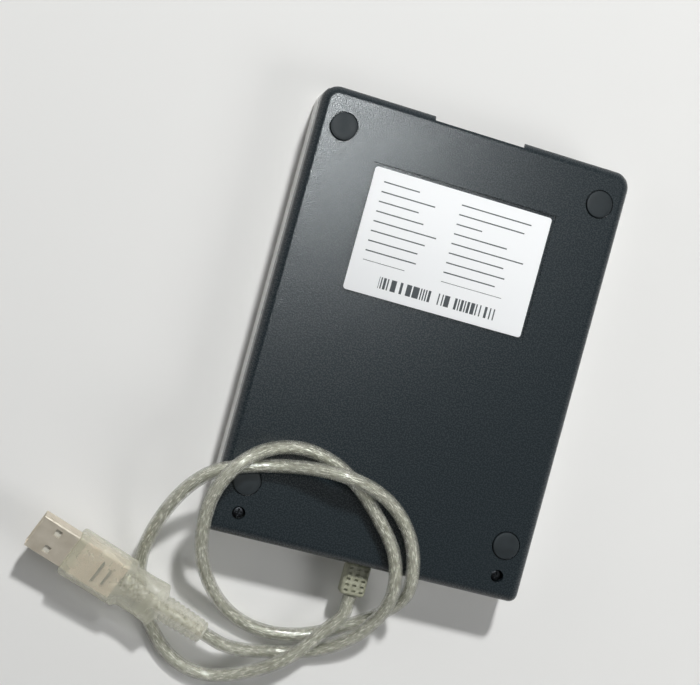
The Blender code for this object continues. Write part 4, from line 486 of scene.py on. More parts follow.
def charcoal_abs():
    """ABS moulded in a spark-eroded tool: close matt bumps that break the light into fine specks,
    and a rim that was polished, so it looks darker and smoother. The real bumps are about 0.1 mm
    wide, and are drawn four times as wide so that they show."""
    case = tuple(colours().case)
    grain = sizes().case_grain / MM
    return grained("charcoal_abs", shade(case, 0.92), shade(case, 1.1), 1.1 * grain, grain, 0.05,
                   (0.2, 0.33), {"Specular IOR Level": 0.5}, flat_only=True)


def grey_abs():
    """ABS in a fine tool finish: an even, dull grey with a faint warm drift."""
    lid = tuple(colours().lid)
    return grained("grey_abs", shade(lid, 0.94), shade(lid, 1.06), 18, 0.3, 0.012, (0.42, 0.52))


def black_abs():
    """Polished black ABS: dark, with soft highlights."""
    return grained("black_abs", "#15181a", "#1d2123", 10, 0.3, 0.006, (0.28, 0.38))


def pressed_rubber():
    """Pressed rubber: dull and dark, with a bloom that pales it in patches."""
    rubber = tuple(colours().rubber)
    return grained("pressed_rubber", shade(rubber, 0.85), shade(rubber, 1.2), 3, 0.25, 0.012,
                   (0.46, 0.56), {"Specular IOR Level": 0.35})


def zinc_plated_steel():
    """Sheet steel under bright zinc: pale blue-grey with a fine spangle."""
    return grained("zinc_plated_steel", "#a3a8ab", "#c2c5c4", 5, 0.5, 0.004, (0.28, 0.42),
                   {"Metallic": 1.0})


def brushed_nickel():
    """Dull nickel over stamped steel: a warm champagne grey that scatters half of its light."""
    return grained("brushed_nickel", "#cfc6b4", "#e0d8c8", 6, 0.25, 0.006, (0.36, 0.5),
                   {"Metallic": 0.5})


def black_zinc_steel():
    """Screw steel under black zinc: nearly black, with a soft metallic gleam on its edges."""
    return grained("black_zinc_steel", "#2b2c2e", "#45474a", 2, 0.2, 0.003, (0.3, 0.42),
                   {"Metallic": 1.0})


def turned_brass():
    """Turned brass: yellow, with fine tool marks."""
    return grained("turned_brass", "#b08d4a", "#cfae68", 3, 0.2, 0.003, (0.25, 0.35),
                   {"Metallic": 1.0})


def gold_plate():
    """Thin gold over nickel on contacts: bright yellow and smooth."""
    return grained("gold_plate", "#d0a04a", "#e6c070", 2, 0.2, 0.001, (0.18, 0.26),
                   {"Metallic": 1.0})


def lacquered_laminate():
    """Glass and epoxy laminate under green lacquer: glossy, with a faint weave."""
    return grained("lacquered_laminate", "#1d4a30", "#2b6040", 4, 0.35, 0.01, (0.25, 0.4))


def moulded_epoxy():
    """Moulded epoxy: near black and matt."""
    return grained("moulded_epoxy", "#191a1b", "#232526", 2, 0.15, 0.006, (0.5, 0.62))


def ivory_nylon():
    """Moulded nylon: a slightly translucent ivory white."""
    return grained("ivory_nylon", "#d6d3c6", "#e4e1d6", 4, 0.2, 0.004, (0.35, 0.48))


def clear_acrylic():
    """Moulded acrylic: clear and glossy, so the light behind it shows."""
    return grained("clear_acrylic", "#dfe6e2", "#eef3f0", 3, 0.3, 0.001, (0.05, 0.12),
                   {"Transmission Weight": 0.85, "IOR": 1.49})


def polyimide_film():
    """Polyimide film over copper: glossy orange brown."""
    return grained("polyimide_film", "#a5601f", "#bd7630", 3, 0.4, 0.003, (0.2, 0.3))


def soft_vinyl():
    """Soft vinyl, clear with a yellow cast: a smooth wet gloss over what it covers."""
    return grained("soft_vinyl", "#dcddd0", "#e8e8de", 8, 1.2, 0.01, (0.05, 0.12),
                   {"Transmission Weight": 0.8, "IOR": 1.5, "Alpha": 0.5})


def milky_vinyl():
    """The same vinyl moulded thick, and matt from its tool: it glows a milky yellow green, and
    what lies in it shows with soft outlines."""
    vinyl = tuple(colours().vinyl)
    return grained("milky_vinyl", shade(vinyl, 0.9), vinyl, 5, 0.8, 0.002, (0.12, 0.2),
                   {"Transmission Weight": 0.45, "IOR": 1.45, "Alpha": 0.6})


def cable_foil():
    """Crumpled foil and braid under the jacket: creases that run along the cable, a few
    millimetres long, bright where they face the light. Their colour drifts in patches from the
    foil's pale silver to an olive brown that is painted shade in the folds."""
    foil = tuple(colours().foil)
    # The olive brown #7f806b is painted shade for the folds of the foil
    return grained("cable_foil", "#7f806b", foil, 0.36, 0.26, 0.2, (0.22, 0.3), {"Metallic": 0.6},
                   coordinate="follow", stretch=(1.0, 1.0, 0.16), contrast=(0.3, 0.74))


def plug_foil_finish():
    """Aluminium foil wrapped by hand: bright creased silver with dull folds."""
    return grained("plug_foil", "#a5a391", "#e6e4da", 1.6, 0.8, 0.25, (0.25, 0.45),
                   {"Metallic": 0.5})


def slot_board_and_shade():
    """Phenolic board behind the screen's slots: dark brown and dull. It is partly the inside that
    shows through them and partly painted shade in their depth.
    """
    return grained("slot_board_and_shade", "#2e2820", "#3d362c", 1.5, 0.3, 0.004, (0.5, 0.6))


def tinned_screen():
    """Thin tinned sheet that has dulled to a pinkish beige under the vinyl."""
    return grained("tinned_screen", "#f8e2d4", "#fff0e6", 5, 0.4, 0.004, (0.42, 0.55),
                   {"Metallic": 0.1})


def relief_vinyl():
    """Filled soft vinyl: olive grey, dull and a little translucent at its edges."""
    return grained("relief_vinyl", "#9c9d87", "#b8b9a4", 1.2, 0.3, 0.01, (0.3, 0.42),
                   {"Transmission Weight": 0.2, "IOR": 1.5})


def matt_paper():
    """Coated paper with plain printed rules: matt white, with thin grey lines in even rows over
    a band of upright stripes, drawn from Object coordinates in metres. White noise of a row's or
    stripe's number says how long the line is, and whether the stripe is dark."""
    # Offset of the noise, +X end of the lines, and -X end of the shortest and of the longest
    rule_columns = ((3.0, 0.0262, 0.016, 0.0045), (17.0, 0.0005, -0.008, -0.025))
    rule_share, rules_low, rules_high = 0.13, -0.0475, -0.0215
    stripe_width, dark_share, stripe_offset = 0.00042, 0.48, 5.0
    made = bpy.data.materials.new("matt_paper")
    tree = emptied(made)
    place = node(tree, "TexCoord").outputs["Object"]
    flat = node(tree, "SeparateXYZ", {"Vector": place})
    pitch = sizes().rule_pitch

    def step(value, edge, operation="LESS_THAN"):
        """One sum of two values: 1 where the value is less than the edge, or another one."""
        return node(tree, "Math", {0: value, 1: edge}, operation=operation).outputs[0]

    def between(value, low, high):
        """1 where a value lies between two others, or else 0."""
        return step(step(value, low, "GREATER_THAN"), step(value, high), "MULTIPLY")

    def chance(value, offset):
        """White noise of the whole number below a value, moved on by an offset."""
        number = step(step(value, 0.0, "FLOOR"), offset, "ADD")
        return node(tree, "TexWhiteNoise", {"W": number},
                    noise_dimensions="1D").outputs["Value"]

    row = step(flat.outputs["Y"], pitch, "DIVIDE")
    line = step(step(row, 0.0, "FRACT"), rule_share)
    columns = []
    for offset, start, short, full in rule_columns:
        end = node(tree, "MapRange", {"Value": chance(row, offset), "To Min": short,
                                      "To Max": full}).outputs[0]
        columns.append(between(flat.outputs["X"], end, start))
    rules = step(step(columns[0], columns[1], "ADD"), line, "MULTIPLY")
    rules = step(rules, between(flat.outputs["Y"], rules_low, rules_high), "MULTIPLY")
    stripe = step(flat.outputs["X"], stripe_width, "DIVIDE")
    stripes = step(chance(stripe, stripe_offset), dark_share)
    stripes = step(stripes, between(flat.outputs["X"], -0.019, 0.0195), "MULTIPLY")
    stripes = step(stripes, between(flat.outputs["Y"], -0.0178, -0.0142), "MULTIPLY")
    rule = step(rules, stripes, "MAXIMUM")
    fibre = node(tree, "TexNoise", {"Vector": place, "Scale": 1 / (0.25 * MM), "Detail": 3.0})
    label = tuple(colours().label)
    tint = node(tree, "Mix", {0: fibre.outputs[0], 6: shade(label, 0.97), 7: label},
                data_type="RGBA").outputs[2]
    colour = node(tree, "Mix", {0: rule, 6: tint, 7: tuple(colours().rule)},
                  data_type="RGBA").outputs[2]
    bump = node(tree, "Bump", {"Height": fibre.outputs[0], "Distance": 0.004 * MM}).outputs[0]
    look = node(tree, "BsdfPrincipled", {"Base Color": colour, "Roughness": 0.55, "Normal": bump})
    node(tree, "OutputMaterial", {"Surface": look.outputs[0]})
    return made


def table_laminate():
    """Pale matt laminate. From 0.3 m outwards, what the camera, gloss and clear pieces see of it
    fades to the pale background, and near the drive it keeps the drive's shadow."""
    pale = tuple(colours().floor)
    made = grained("table_laminate", shade(pale, 0.985), pale, 60, 1.0, 0.002, (0.6, 0.7))
    tree = made.node_tree
    place = node(tree, "TexCoord").outputs["Object"]
    far = node(tree, "VectorMath", {0: place}, operation="LENGTH").outputs["Value"]
    share = node(tree, "MapRange", {"Value": far, "From Min": FADE_FROM, "From Max": FADE_TO},
                 interpolation_type="SMOOTHSTEP").outputs[0]
    path = node(tree, "LightPath").outputs
    seen = node(tree, "Math", {0: path["Is Camera Ray"], 1: path["Is Glossy Ray"]},
                operation="MAXIMUM").outputs[0]
    seen = node(tree, "Math", {0: seen, 1: path["Is Transmission Ray"]},
                operation="MAXIMUM").outputs[0]
    share = node(tree, "Math", {0: share, 1: seen}, operation="MULTIPLY").outputs[0]
    glow = node(tree, "Emission", {"Color": BACKDROP, "Strength": BACKDROP_LEVEL}).outputs[0]
    output = next(n for n in tree.nodes if n.type == "OUTPUT_MATERIAL")
    matt = output.inputs[0].links[0].from_socket
    mixed = node(tree, "MixShader", {0: share, 1: matt, 2: glow}).outputs[0]
    tree.links.new(mixed, output.inputs[0])
    return made


def plug_frame():
    """The plug's place: its origin is its rear end, just past the cable's end, its Y points out
    of its tip along the cable, and it is rolled about that."""
    forward = Vector(CORD_WAY).normalized()
    across = forward.cross(Vector((0.0, 0.0, 1.0))).normalized()
    frame_axes = Matrix((across, forward, across.cross(forward))).transposed()
    turned = frame_axes @ Matrix.Rotation(math.radians(PLUG_ROLL), 3, "Y")
    return Matrix.Translation(Vector(CORD_END) * MM + forward * PLUG_GAP * MM) @ turned.to_4x4()


# Operators


class DRIVE_OT_stage(bpy.types.Operator):
    """Camera at the photograph's viewing angle, pale floor and soft light"""

    bl_idname = "drive.stage"
    bl_label = "Stage"

    def execute(self, context):
        lens = bpy.data.cameras.new("camera")
        lens.sensor_width, lens.lens, lens.sensor_fit = SENSOR, LENS, "HORIZONTAL"
        lens.clip_start = 0.01
        camera = bpy.data.objects.new("camera", lens)
        axes = Matrix((CAMERA_RIGHT, [-v for v in CAMERA_DOWN], [-v for v in CAMERA_AHEAD]))
        camera.matrix_world = (Matrix.Translation(Vector(CAMERA_PLACE) * MM)
                               @ axes.transposed().to_4x4())
        context.scene.collection.objects.link(camera)
        context.scene.camera = camera
        context.scene.view_settings.view_transform = "Standard"
        self.floor(context)
        for lamp in LAMPS:
            self.light(context, *lamp).visible_glossy = False
        softbox = self.light(context, *SOFTBOX)
        softbox.visible_diffuse = False
        softbox.data.color = SOFTBOX_COLOUR
        self.room(context)
        return {"FINISHED"}

    def room(self, context):
        """A pale room with a darker ceiling: gloss mirrors a level that falls from the walls to
        the ceiling, and the camera and clear pieces see the pale background itself."""
        world = bpy.data.worlds.new("room")
        tree = emptied(world)
        path = node(tree, "LightPath")
        height = node(tree, "SeparateXYZ",
                      {"Vector": node(tree, "TexCoord").outputs["Generated"]}).outputs["Z"]
        mirrored = node(tree, "MapRange", {"Value": height, "From Min": 0.1, "From Max": 0.95,
                                           "To Min": MIRROR_LOW,
                                           "To Max": MIRROR_HIGH}).outputs[0]
        level = node(tree, "Mix", {0: path.outputs["Is Glossy Ray"], 2: ROOM_LEVEL, 3: mirrored})
        seen = node(tree, "Math", {0: path.outputs["Is Camera Ray"],
                                   1: path.outputs["Is Transmission Ray"]}, operation="MAXIMUM")
        level = node(tree, "Mix", {0: seen.outputs[0], 2: level.outputs[0], 3: BACKDROP_LEVEL})
        light = node(tree, "Background", {"Color": BACKDROP, "Strength": level.outputs[0]})
        node(tree, "OutputWorld", {"Surface": light.outputs[0]})
        context.scene.world = world

    def floor(self, context):
        """A square far wider than the view, just under the drive."""
        mesh = bpy.data.meshes.new("floor")
        corners = np.array(((-1, -1), (1, -1), (1, 1), (-1, 1))) * FLOOR_REACH
        mesh.from_pydata(np.column_stack((corners, np.full(4, FLOOR_LEVEL))).tolist(), [],
                         [(0, 1, 2, 3)])
        mesh.materials.append(table_laminate())
        floor = bpy.data.objects.new("floor", mesh)
        context.scene.collection.objects.link(floor)

    def light(self, context, name, place, size, power):
        """A round lamp that faces the drive's origin."""
        lamp = bpy.data.lights.new(name, "AREA")
        lamp.shape, lamp.size, lamp.energy = "DISK", size, power
        made = bpy.data.objects.new(name, lamp)
        made.location = place
        made.rotation_euler = (-Vector(place)).to_track_quat("-Z", "Y").to_euler()
        context.scene.collection.objects.link(made)
        return made


class DRIVE_OT_cord(bpy.types.Operator):
    """Clear cable with its foil core, in the two loose loops that it lies in"""

    bl_idname = "drive.cord"
    bl_label = "Cable"

    def execute(self, context):
        start, end = np.array(CORD_START) * MM, np.array(CORD_END) * MM
        first_way = np.array((0.0, 1.0, 0.0))
        last_way = np.array(Vector(CORD_WAY).normalized())
        straight = CORD_STRAIGHT * MM
        route = np.vstack([start + first_way * straight, np.array(CORD_ROUTE) * MM,
                           end - last_way * straight])
        curve = smooth_curve(route, first_way, last_way, 420)
        curve[:, 2] = np.maximum(curve[:, 2], sizes().cord_jacket + 0.02 * MM)
        path = np.vstack([start, start + first_way * straight / 2, curve,
                          end - last_way * straight / 2, end])
        jacket = finished(swept("cord_jacket", path, sizes().cord_jacket, soft_vinyl()), "case",
                          ("cord",))
        inner = path.copy()
        inner[0] += first_way * 0.25 * MM
        inner[-1] -= last_way * 0.25 * MM
        core = finished(swept("cord_foil", inner, sizes().cord_core, cable_foil()), "case", ())
        return {"FINISHED"}


class DRIVE_OT_plug(bpy.types.Operator):
    """Plug with its clear moulding, inner screen, metal shell, insulator and contacts"""

    bl_idname = "drive.plug"
    bl_label = "Plug"

    def execute(self, context):
        place = plug_frame()
        self.moulding(place)
        self.inside(place)
        self.shell(place)
        return {"FINISHED"}

    def moulding(self, place):
        """Rounded rectangles carried along Y, whose half sides follow the sleeve's ribs, a
        waist and a wider body, with a quarter circle drawn in at each end."""
        y = np.concatenate((np.linspace(0, SLEEVE, 94), np.linspace(15.7, 49.0, 110)))
        wave = 2 * np.pi * y * SLEEVE_RIBS / SLEEVE
        ribs = 3.7 + 0.6 * y / SLEEVE - 0.17 * (1 - np.cos(wave))
        ease = eased(y, 15.3, 1.4)
        fade = np.clip((y - SLEEVE) / 7.0, 0, 1)
        wide = eased(y, 27.9, 1.6)
        half_x = ribs * (1 - ease) + (6.3 + 1.3 * wide) * ease
        half_z = np.where(y <= SLEEVE, ribs, 4.3 - 0.8 * fade ** 2 + 0.3 * wide)
        corner = np.minimum(np.minimum(half_x, half_z), ribs * (1 - ease) + 1.6 * ease)
        front, rear = np.clip((y - 47.8) / 1.2, 0, 1), np.clip((0.8 - y) / 0.8, 0, 1)
        draw_in = 1.2 * (1 - np.sqrt(1 - front ** 2)) + 0.8 * (1 - np.sqrt(1 - rear ** 2))
        ring = rounded_outline((half_x - draw_in) * MM, (half_z - draw_in) * MM,
                               np.maximum(corner - draw_in, 0.3) * MM, 10)
        grid = np.stack((ring[..., 0], np.broadcast_to(y[:, None] * MM, ring.shape[:2]),
                         ring[..., 1]), -1)
        body = surface("overmould", grid, milky_vinyl())
        rooms = [plate(name, low, high, 0.7, 0, milky_vinyl(), 1)
                 for name, low, high in (("pocket", (-6.02, 40.0, -2.27), (6.02, 60, 2.27)),
                                         ("screen", (-6.3, 31.2, -2.6), (6.3, 46.4, 2.6)))]
        combined(body, rooms)
        finished(carried(body, place), "case", ("plug_overmould",))

    def inside(self, place):
        """The screen round the wires' ends with two slots across it, and foil behind it: an
        ellipse that widens with y, and waves of some turns round it that drift along it."""
        screen = plate("plug_screen", (-6.2, 31.4, -2.5), (6.2, 46.3, 2.5), 0.7, 0.3,
                       tinned_screen(), 1)
        cuts = [plate("bore", (-6.02, 42.9, -2.27), (6.02, 50, 2.27), 0.7, 0, tinned_screen(), 1)]
        # Start along Y and both ends along X of each slot
        slots = ((38.0, -4.9, 3.5), (34.8, -3.9, 2.6))
        cuts += [plate(f"slot_{y}", (left, y, 1.6), (right, y + 1.05, 4), 0.4, 0,
                       tinned_screen()) for y, left, right in slots]
        combined(screen, cuts)
        finished(carried(screen, place), "case", ("plug_shield",), 0.1)
        # Dark boards under the slots: partly what lies inside the plug, partly painted shade in
        # the slots' depth
        for i, (y, left, right) in enumerate(slots):
            floor = plate(f"plug_slot_{i + 1}", (left + 0.2, y + 0.1, 1.5),
                          (right - 0.2, y + 0.9, 1.7), 0.2, 0, slot_board_and_shade())
            finished(carried(floor, place), "case", ())
        y = np.linspace(0.5, 31.0, 150)
        angle = np.linspace(0, 2 * np.pi, 40, endpoint=False)
        share = np.clip((y - 17.5) / 13.5, 0, 1)[:, None]
        waves = ((0.25, 5, 1.1), (0.18, 9, -2.3), (0.12, 3, 4.1))
        crease = sum(height * np.sin(turns * angle[None] + drift * y[:, None])
                     for height, turns, drift in waves)
        crease *= 0.3 + 0.7 * np.clip((y - 15.0) / 3.0, 0, 1)[:, None]
        grid = np.stack(((1.5 + 2.0 * share + crease) * np.cos(angle),
                         np.broadcast_to(y[:, None], crease.shape),
                         (1.5 + 0.2 * share + 0.5 * crease) * np.sin(angle)), -1) * MM
        foil = surface("plug_foil", grid, plug_foil_finish())
        finished(carried(foil, place), "case", ())

    def shell(self, place):
        """A wall folded from strip: rounded rectangles along the outside and back along the
        inside, with a rolled lip, and two square holes through each broad face."""
        lip = np.radians(np.linspace(0, 180, 7))
        rear, tip, half_wall = 43.0, 61.3, 0.175
        y = np.concatenate(([rear], np.linspace(44, tip, 8), tip + half_wall * np.sin(lip),
                            np.linspace(tip, 44, 8), [rear]))
        inset = np.concatenate((np.zeros(9), half_wall * (1 - np.cos(lip)),
                                np.full(9, 2 * half_wall)))
        ring = rounded_outline((6.0 - inset) * MM, (2.25 - inset) * MM, (0.75 - inset) * MM, 8)
        grid = np.stack((ring[..., 0], np.broadcast_to(y[:, None] * MM, ring.shape[:2]),
                         ring[..., 1]), -1)
        case = surface("plug_case", grid, brushed_nickel(), closed=True)
        holes = [plate(f"hole_{i}", (x - 1.15, 54.2, -4), (x + 1.15, 56.3, 4), 0.15, 0,
                       brushed_nickel()) for i, x in enumerate((-3.1, 3.1))]
        combined(case, holes)
        finished(carried(case, place), "case", ("plug_shell",), 0.06)
        tongue = plate("plug_insulator", (-5.2, 43.3, -0.3), (5.2, 60.5, 1.6), 0.25, 0.15,
                       ivory_nylon(), 1)
        finished(carried(tongue, place), "case", ("plug_tongue",))
        for i, x in enumerate((-3.5, -1.0, 1.0, 3.5)):
            contact = plate(f"plug_contact_{i + 1}", (x - 0.5, 51.0, -0.42),
                            (x + 0.5, 59.6, -0.28), 0.1, 0.04, gold_plate())
            finished(carried(contact, place), "case", ())


class DRIVE_OT_relief(bpy.types.Operator):
    """Strain relief with five rows of three slots on each face"""

    bl_idname = "drive.relief"
    bl_label = "Strain relief"

    def execute(self, context):
        vinyl = relief_vinyl()
        body = plate("relief", (-4.1, 71.3, 6.2), (4.1, 81.7, 11.8), 1.5, 1.0, vinyl, 1, 5, 8)
        neck = plate("neck", (-3.5, 68.2, 6.8), (3.5, 74.0, 11.2), 0.6, 0, vinyl, 1)
        flange = plate("flange", (-4.1, 67.7, 6.2), (4.1, 69.1, 11.8), 0.8, 0.2, vinyl, 1)
        combined(body, (neck, flange), "UNION")
        half = np.array((0.65, 0.35, 0.7))
        slots = []
        for row, column, side in product(range(5), (-1, 0, 1), (-1, 1)):
            middle = np.array((column * 2.5, 72.9 + row * 1.8, RELIEF_Z + side * 2.8))
            slots.append(plate(f"slot_{row}_{column}_{side}", middle - half, middle + half,
                               0.25, 0, vinyl))
        combined(body, slots)
        finished(body, "case", ("cord_strain_relief",), 0.12)
        return {"FINISHED"}


class DRIVE_OT_case(bpy.types.Operator):
    """Charcoal underside shell and grey lid, hollow and open to the front"""

    bl_idname = "drive.case"
    bl_label = "Case"

    def execute(self, context):
        self.shell()
        self.lid()
        return {"FINISHED"}

    def outer(self, name, inset, level, material, corner=CORNER):
        """Rounded rectangles drawn in by inset at each level, both in millimetres, whose corner
        radius is the corner less the inset, with one corner for all or four for each level."""
        inset, level = np.array(inset), np.array(level)
        radius = np.maximum((corner - inset).T, 0.25)
        ring = rounded_outline((CASE_HALF_X - inset) * MM, (CASE_HALF_Y - inset) * MM,
                               radius * MM, 16)
        grid = np.dstack((ring, np.broadcast_to(level[:, None] * MM, ring.shape[:2])))
        return surface(name, grid, material)

    def lathes(self, name, profile, places, material, columns=48):
        """Upright bodies of one profile at several places."""
        return [lathe(f"{name}_{i}", profile, (x, y, 0), material, 2, columns)
                for i, (x, y) in enumerate(places)]

    def rooms(self, low, high, material):
        """The room inside, the thumb notch and the strain relief's hole."""
        inner = CASE_HALF_X - WALL
        return [plate("room", (-inner, -CASE_HALF_Y - 10, low), (inner, CASE_HALF_Y - WALL, high),
                      CORNER - WALL, 0, material, 2, 1, 12),
                plate("notch", (NOTCH_X - NOTCH_HALF, -CASE_HALF_Y - 5, -5),
                      (NOTCH_X + NOTCH_HALF, -CASE_HALF_Y + NOTCH_BACK, 25), 0.25, 0, material),
                plate("relief_hole", (-3.8, 65, 6.5), (3.8, 75, 11.5), 0.6, 0, material, 1)]

    def shell(self):
        """A wall whose corners ease from CORNER at the seam to SHELL_CORNERS at the rim, and a
        rim on a quarter circle, edge (1 - cos t) in and edge (1 - sin t) below the top. It has
        bosses, posts, and recesses for feet, screws and label."""
        material = charcoal_abs()
        edge = sizes().case_edge / MM
        bend = np.linspace(0, np.pi / 2, 13)
        rise = np.linspace(0, 1, 7)[:-1]
        share = np.concatenate((eased(rise), np.ones(13)))
        corner = CORNER + (np.array(SHELL_CORNERS)[:, None] - CORNER) * share
        shell = self.outer("underside_shell", [*(0 * rise), *(edge * (1 - np.cos(bend)))],
                           [*(SHELL_LOW + (SHELL_HIGH - edge - SHELL_LOW) * rise),
                            *(SHELL_HIGH - edge * (1 - np.sin(bend)))], material, corner)
        combined(shell, self.rooms(5.0, SHELL_HIGH - WALL, material))
        screws = [(x, SCREW_Y) for x in SCREW_X.values()]
        feet = list(product(FOOT_X.values(), FOOT_Y.values()))
        posts = self.lathes("boss", [(BOSS_RADIUS, SHELL_LOW), (BOSS_RADIUS, POST_TOP)], screws,
                            material)
        posts += self.lathes("post", [(POST_RADIUS, 13.7), (POST_RADIUS, POST_TOP)], POSTS,
                             material)
        combined(shell, posts, "UNION")
        cuts = self.lathes("foot_recess", [(4.6, 17.2), (4.6, 22.0)], feet, material, 64)
        cuts += self.lathes("well", [(1.4, 5.0), (1.4, 15.0), (2.05, 15.0), (2.05, 22.0)], screws,
                            material)
        cuts += self.lathes("bore", [(1.3, 5.0), (1.3, 16.4)], POSTS, material)
        cuts.append(plate("label_recess", (-30.15, -51.45, 17.5), (31.05, -10.15, 20), 0.4, 0,
                          material))
        combined(shell, cuts)
        finished(shell, "case", ("bottom_shell",), 0.16)

    def lid(self):
        """A rim on a quarter circle, edge (1 - sin t) in and edge (1 - cos t) up, and a wall
        with a square groove round it. It has bosses with bores for the screws."""
        material = grey_abs()
        edge = sizes().lid_edge / MM
        bend = np.linspace(0, np.pi / 2, 9)
        inset = [*(edge * (1 - np.sin(bend))), 0, GROOVE_DEPTH, GROOVE_DEPTH, 0, 0]
        level = [*(edge * (1 - np.cos(bend))), GROOVE_LOW, GROOVE_LOW, GROOVE_HIGH, GROOVE_HIGH,
                 LID_TOP]
        lid = self.outer("lid", inset, level, material)
        combined(lid, self.rooms(WALL, 20.0, material))
        screws = [(x, SCREW_Y) for x in SCREW_X.values()]
        combined(lid, self.lathes("boss", [(BOSS_RADIUS, 0.8), (BOSS_RADIUS, LID_TOP)], screws,
                                  material), "UNION")
        combined(lid, self.lathes("bore", [(1.4, 5.5), (1.4, 20.0)], screws, material))
        finished(lid, "case", ("top_cover",), 0.12)


class DRIVE_OT_trim(bpy.types.Operator):
    """Four rubber feet, the bare label and the two case screws"""

    bl_idname = "drive.trim"
    bl_label = "Feet, label and screws"

    def execute(self, context):
        profile = [(0.5, 17.5), (4.15, 17.5), (4.3, 17.65), *quarter(4.0, 18.12, 0.3, 0, 80),
                   (3.2, 18.46), (1.6, 18.49), (0.3, 18.5)]
        for (end, y), (side, x) in product(FOOT_Y.items(), FOOT_X.items()):
            foot = lathe(f"rubber_foot_{end}_{side}", profile, (x, y, 0), pressed_rubber())
            finished(foot, "case", (f"foot_{end}_{side}",))
        label = plate("bare_label", (-29.05, -50.35, 17.8), (29.95, -11.25, 18.0),
                      sizes().label_corner / MM, 0.04, matt_paper(), 2, 2, 8)
        finished(label, "case", ("rating_label",))
        profile = [(0.4, 6.1), (1.0, 6.7), (1.1, 7.2), (1.1, 15.25), (1.7, 15.3),
                   (1.7, 16.1), *quarter(1.3, 16.15, 0.4, 10, 80, 4), (0.3, 16.6)]
        for side, x in SCREW_X.items():
            screw = lathe(f"cross_screw_{side}", profile, (x, SCREW_Y, 0), black_zinc_steel())
            bars = [plate("bar_a", (x - 1.1, 63.4, 15.95), (x + 1.1, 63.9, 18), 0.1, 0,
                          black_zinc_steel()),
                    plate("bar_b", (x - 0.25, 62.55, 15.95), (x + 0.25, 64.75, 18), 0.1, 0,
                          black_zinc_steel())]
            combined(screw, bars)
            finished(screw, "case", (f"case_screw_{side}",), 0.05)
        return {"FINISHED"}


class DRIVE_OT_front(bpy.types.Operator):
    """Front panel with its slot, the dust door, the eject button and the light pipe"""

    bl_idname = "drive.front"
    bl_label = "Front"

    def execute(self, context):
        copied("front_bezel", "front_panel", charcoal_abs(), 0.2)
        copied("dust_door", "slot_door", black_abs(), 0.12)
        button = plate("release_button", (-44.0, -71.0, 11.2), (-34.0, -65.0, 14.6), 0.7, 0.55,
                       grey_abs(), 1, 5, 8)
        finished(button, "slider", ("eject_button",))
        pipe = lathe("light_window", [(0.3, -69.3), *quarter(0.55, -69.05, 0.25, -90, 0, 4),
                                      (0.8, -59.3), (0.3, -59.3)], (-25.0, 0, 14.4),
                     clear_acrylic(), 1, 32)
        finished(pipe, "case", ("light_pipe",))
        return {"FINISHED"}


class DRIVE_OT_mechanism(bpy.types.Operator):
    """Chassis, cradle, slider, spindle, heads, lead screw, switches and springs"""

    bl_idname = "drive.mechanism"
    bl_label = "Mechanism"

    def execute(self, context):
        steel, brass, nylon = zinc_plated_steel(), turned_brass(), ivory_nylon()
        all_copied(("slider_plate", "disk_cradle", "shutter_lever", "drive_chassis",
                    "spindle_rotor", "upper_head_arm", "stepper_motor", "lead_screw_bracket"),
                   "sheet", steel, 0.08)
        all_copied(("chassis_screw_front_left", "chassis_screw_rear_left",
                    "chassis_screw_front_right", "chassis_screw_rear_right",
                    "guide_rod_left", "guide_rod_right", "spindle_shaft", "drive_pin",
                    "lead_screw", "head_load_spring", "eject_spring", "dust_door_spring",
                    "shutter_lever_spring"), "steel", steel, 0.0)
        copied("spindle_bearing", "bearing_brass", brass, 0.08)
        for name in ("head_carriage", "switch_block", "lower_head", "upper_head"):
            copied(name, f"{name}_moulding", black_abs() if "head" in name else nylon,
                   0.08)
        all_copied(("disk_in_plunger", "write_protect_plunger", "density_plunger"), "nylon",
                   nylon, 0.1)
        return {"FINISHED"}


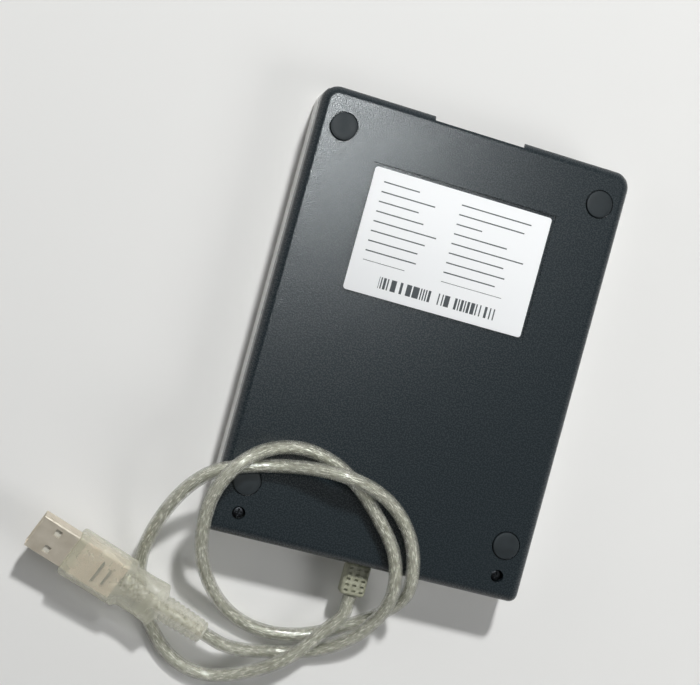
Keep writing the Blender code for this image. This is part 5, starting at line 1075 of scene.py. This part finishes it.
class DRIVE_OT_boards(bpy.types.Operator):
    """Circuit boards with their chips, connectors, ribbon and the cable's lead"""

    bl_idname = "drive.boards"
    bl_label = "Boards"

    def execute(self, context):
        all_copied(("spindle_stator", "main_board", "usb_board"), "laminate",
                   lacquered_laminate(), 0.08)
        all_copied(("controller_chip", "motor_driver_chip", "usb_bridge_chip"), "resin",
                   moulded_epoxy(), 0.1)
        all_copied(("ribbon_connector_front", "ribbon_connector_rear", "cord_connector"), "nylon",
                   ivory_nylon(), 0.12)
        copied("ribbon_cable", "ribbon_film", polyimide_film(), 0.0)
        copied("activity_led", "activity_lamp", clear_acrylic(), 0.15)
        copied("cord_lead", "inner_lead", black_abs(), 0.0)
        return {"FINISHED"}


class DRIVE_PT_panel(bpy.types.Panel):
    """Sizes, colours and the steps that build the drive"""

    bl_idname = "DRIVE_PT_panel"
    bl_label = "Floppy Drive"
    bl_space_type = "VIEW_3D"
    bl_region_type = "UI"
    bl_category = "Floppy Drive"

    def draw(self, context):
        for group in (context.scene.drive_sizes, context.scene.drive_colours):
            box = self.layout.box()
            for name in group.bl_rna.properties.keys():
                if name not in {"rna_type", "name"}:
                    box.prop(group, name)
        for operator in STEPS:
            self.layout.operator(operator.bl_idname)


STEPS = (DRIVE_OT_stage, DRIVE_OT_plug, DRIVE_OT_cord, DRIVE_OT_relief, DRIVE_OT_case,
         DRIVE_OT_trim, DRIVE_OT_front, DRIVE_OT_mechanism, DRIVE_OT_boards)
CLASSES = (DriveSizes, DriveColours, *STEPS, DRIVE_PT_panel)


def register():
    """Add the classes and the scene's settings."""
    for made in CLASSES:
        bpy.utils.register_class(made)
    bpy.types.Scene.drive_sizes = bpy.props.PointerProperty(type=DriveSizes)
    bpy.types.Scene.drive_colours = bpy.props.PointerProperty(type=DriveColours)


def unregister():
    """Take them away again."""
    del bpy.types.Scene.drive_colours
    del bpy.types.Scene.drive_sizes
    for made in reversed(CLASSES):
        bpy.utils.unregister_class(made)


def main():
    """Build every piece in order."""
    register()
    bpy.ops.drive.stage()
    bpy.ops.drive.plug()
    bpy.ops.drive.cord()
    bpy.ops.drive.relief()
    bpy.ops.drive.case()
    bpy.ops.drive.trim()
    bpy.ops.drive.front()
    bpy.ops.drive.mechanism()
    bpy.ops.drive.boards()
    bpy.context.view_layer.update()


if __name__ == "__main__":
    main()
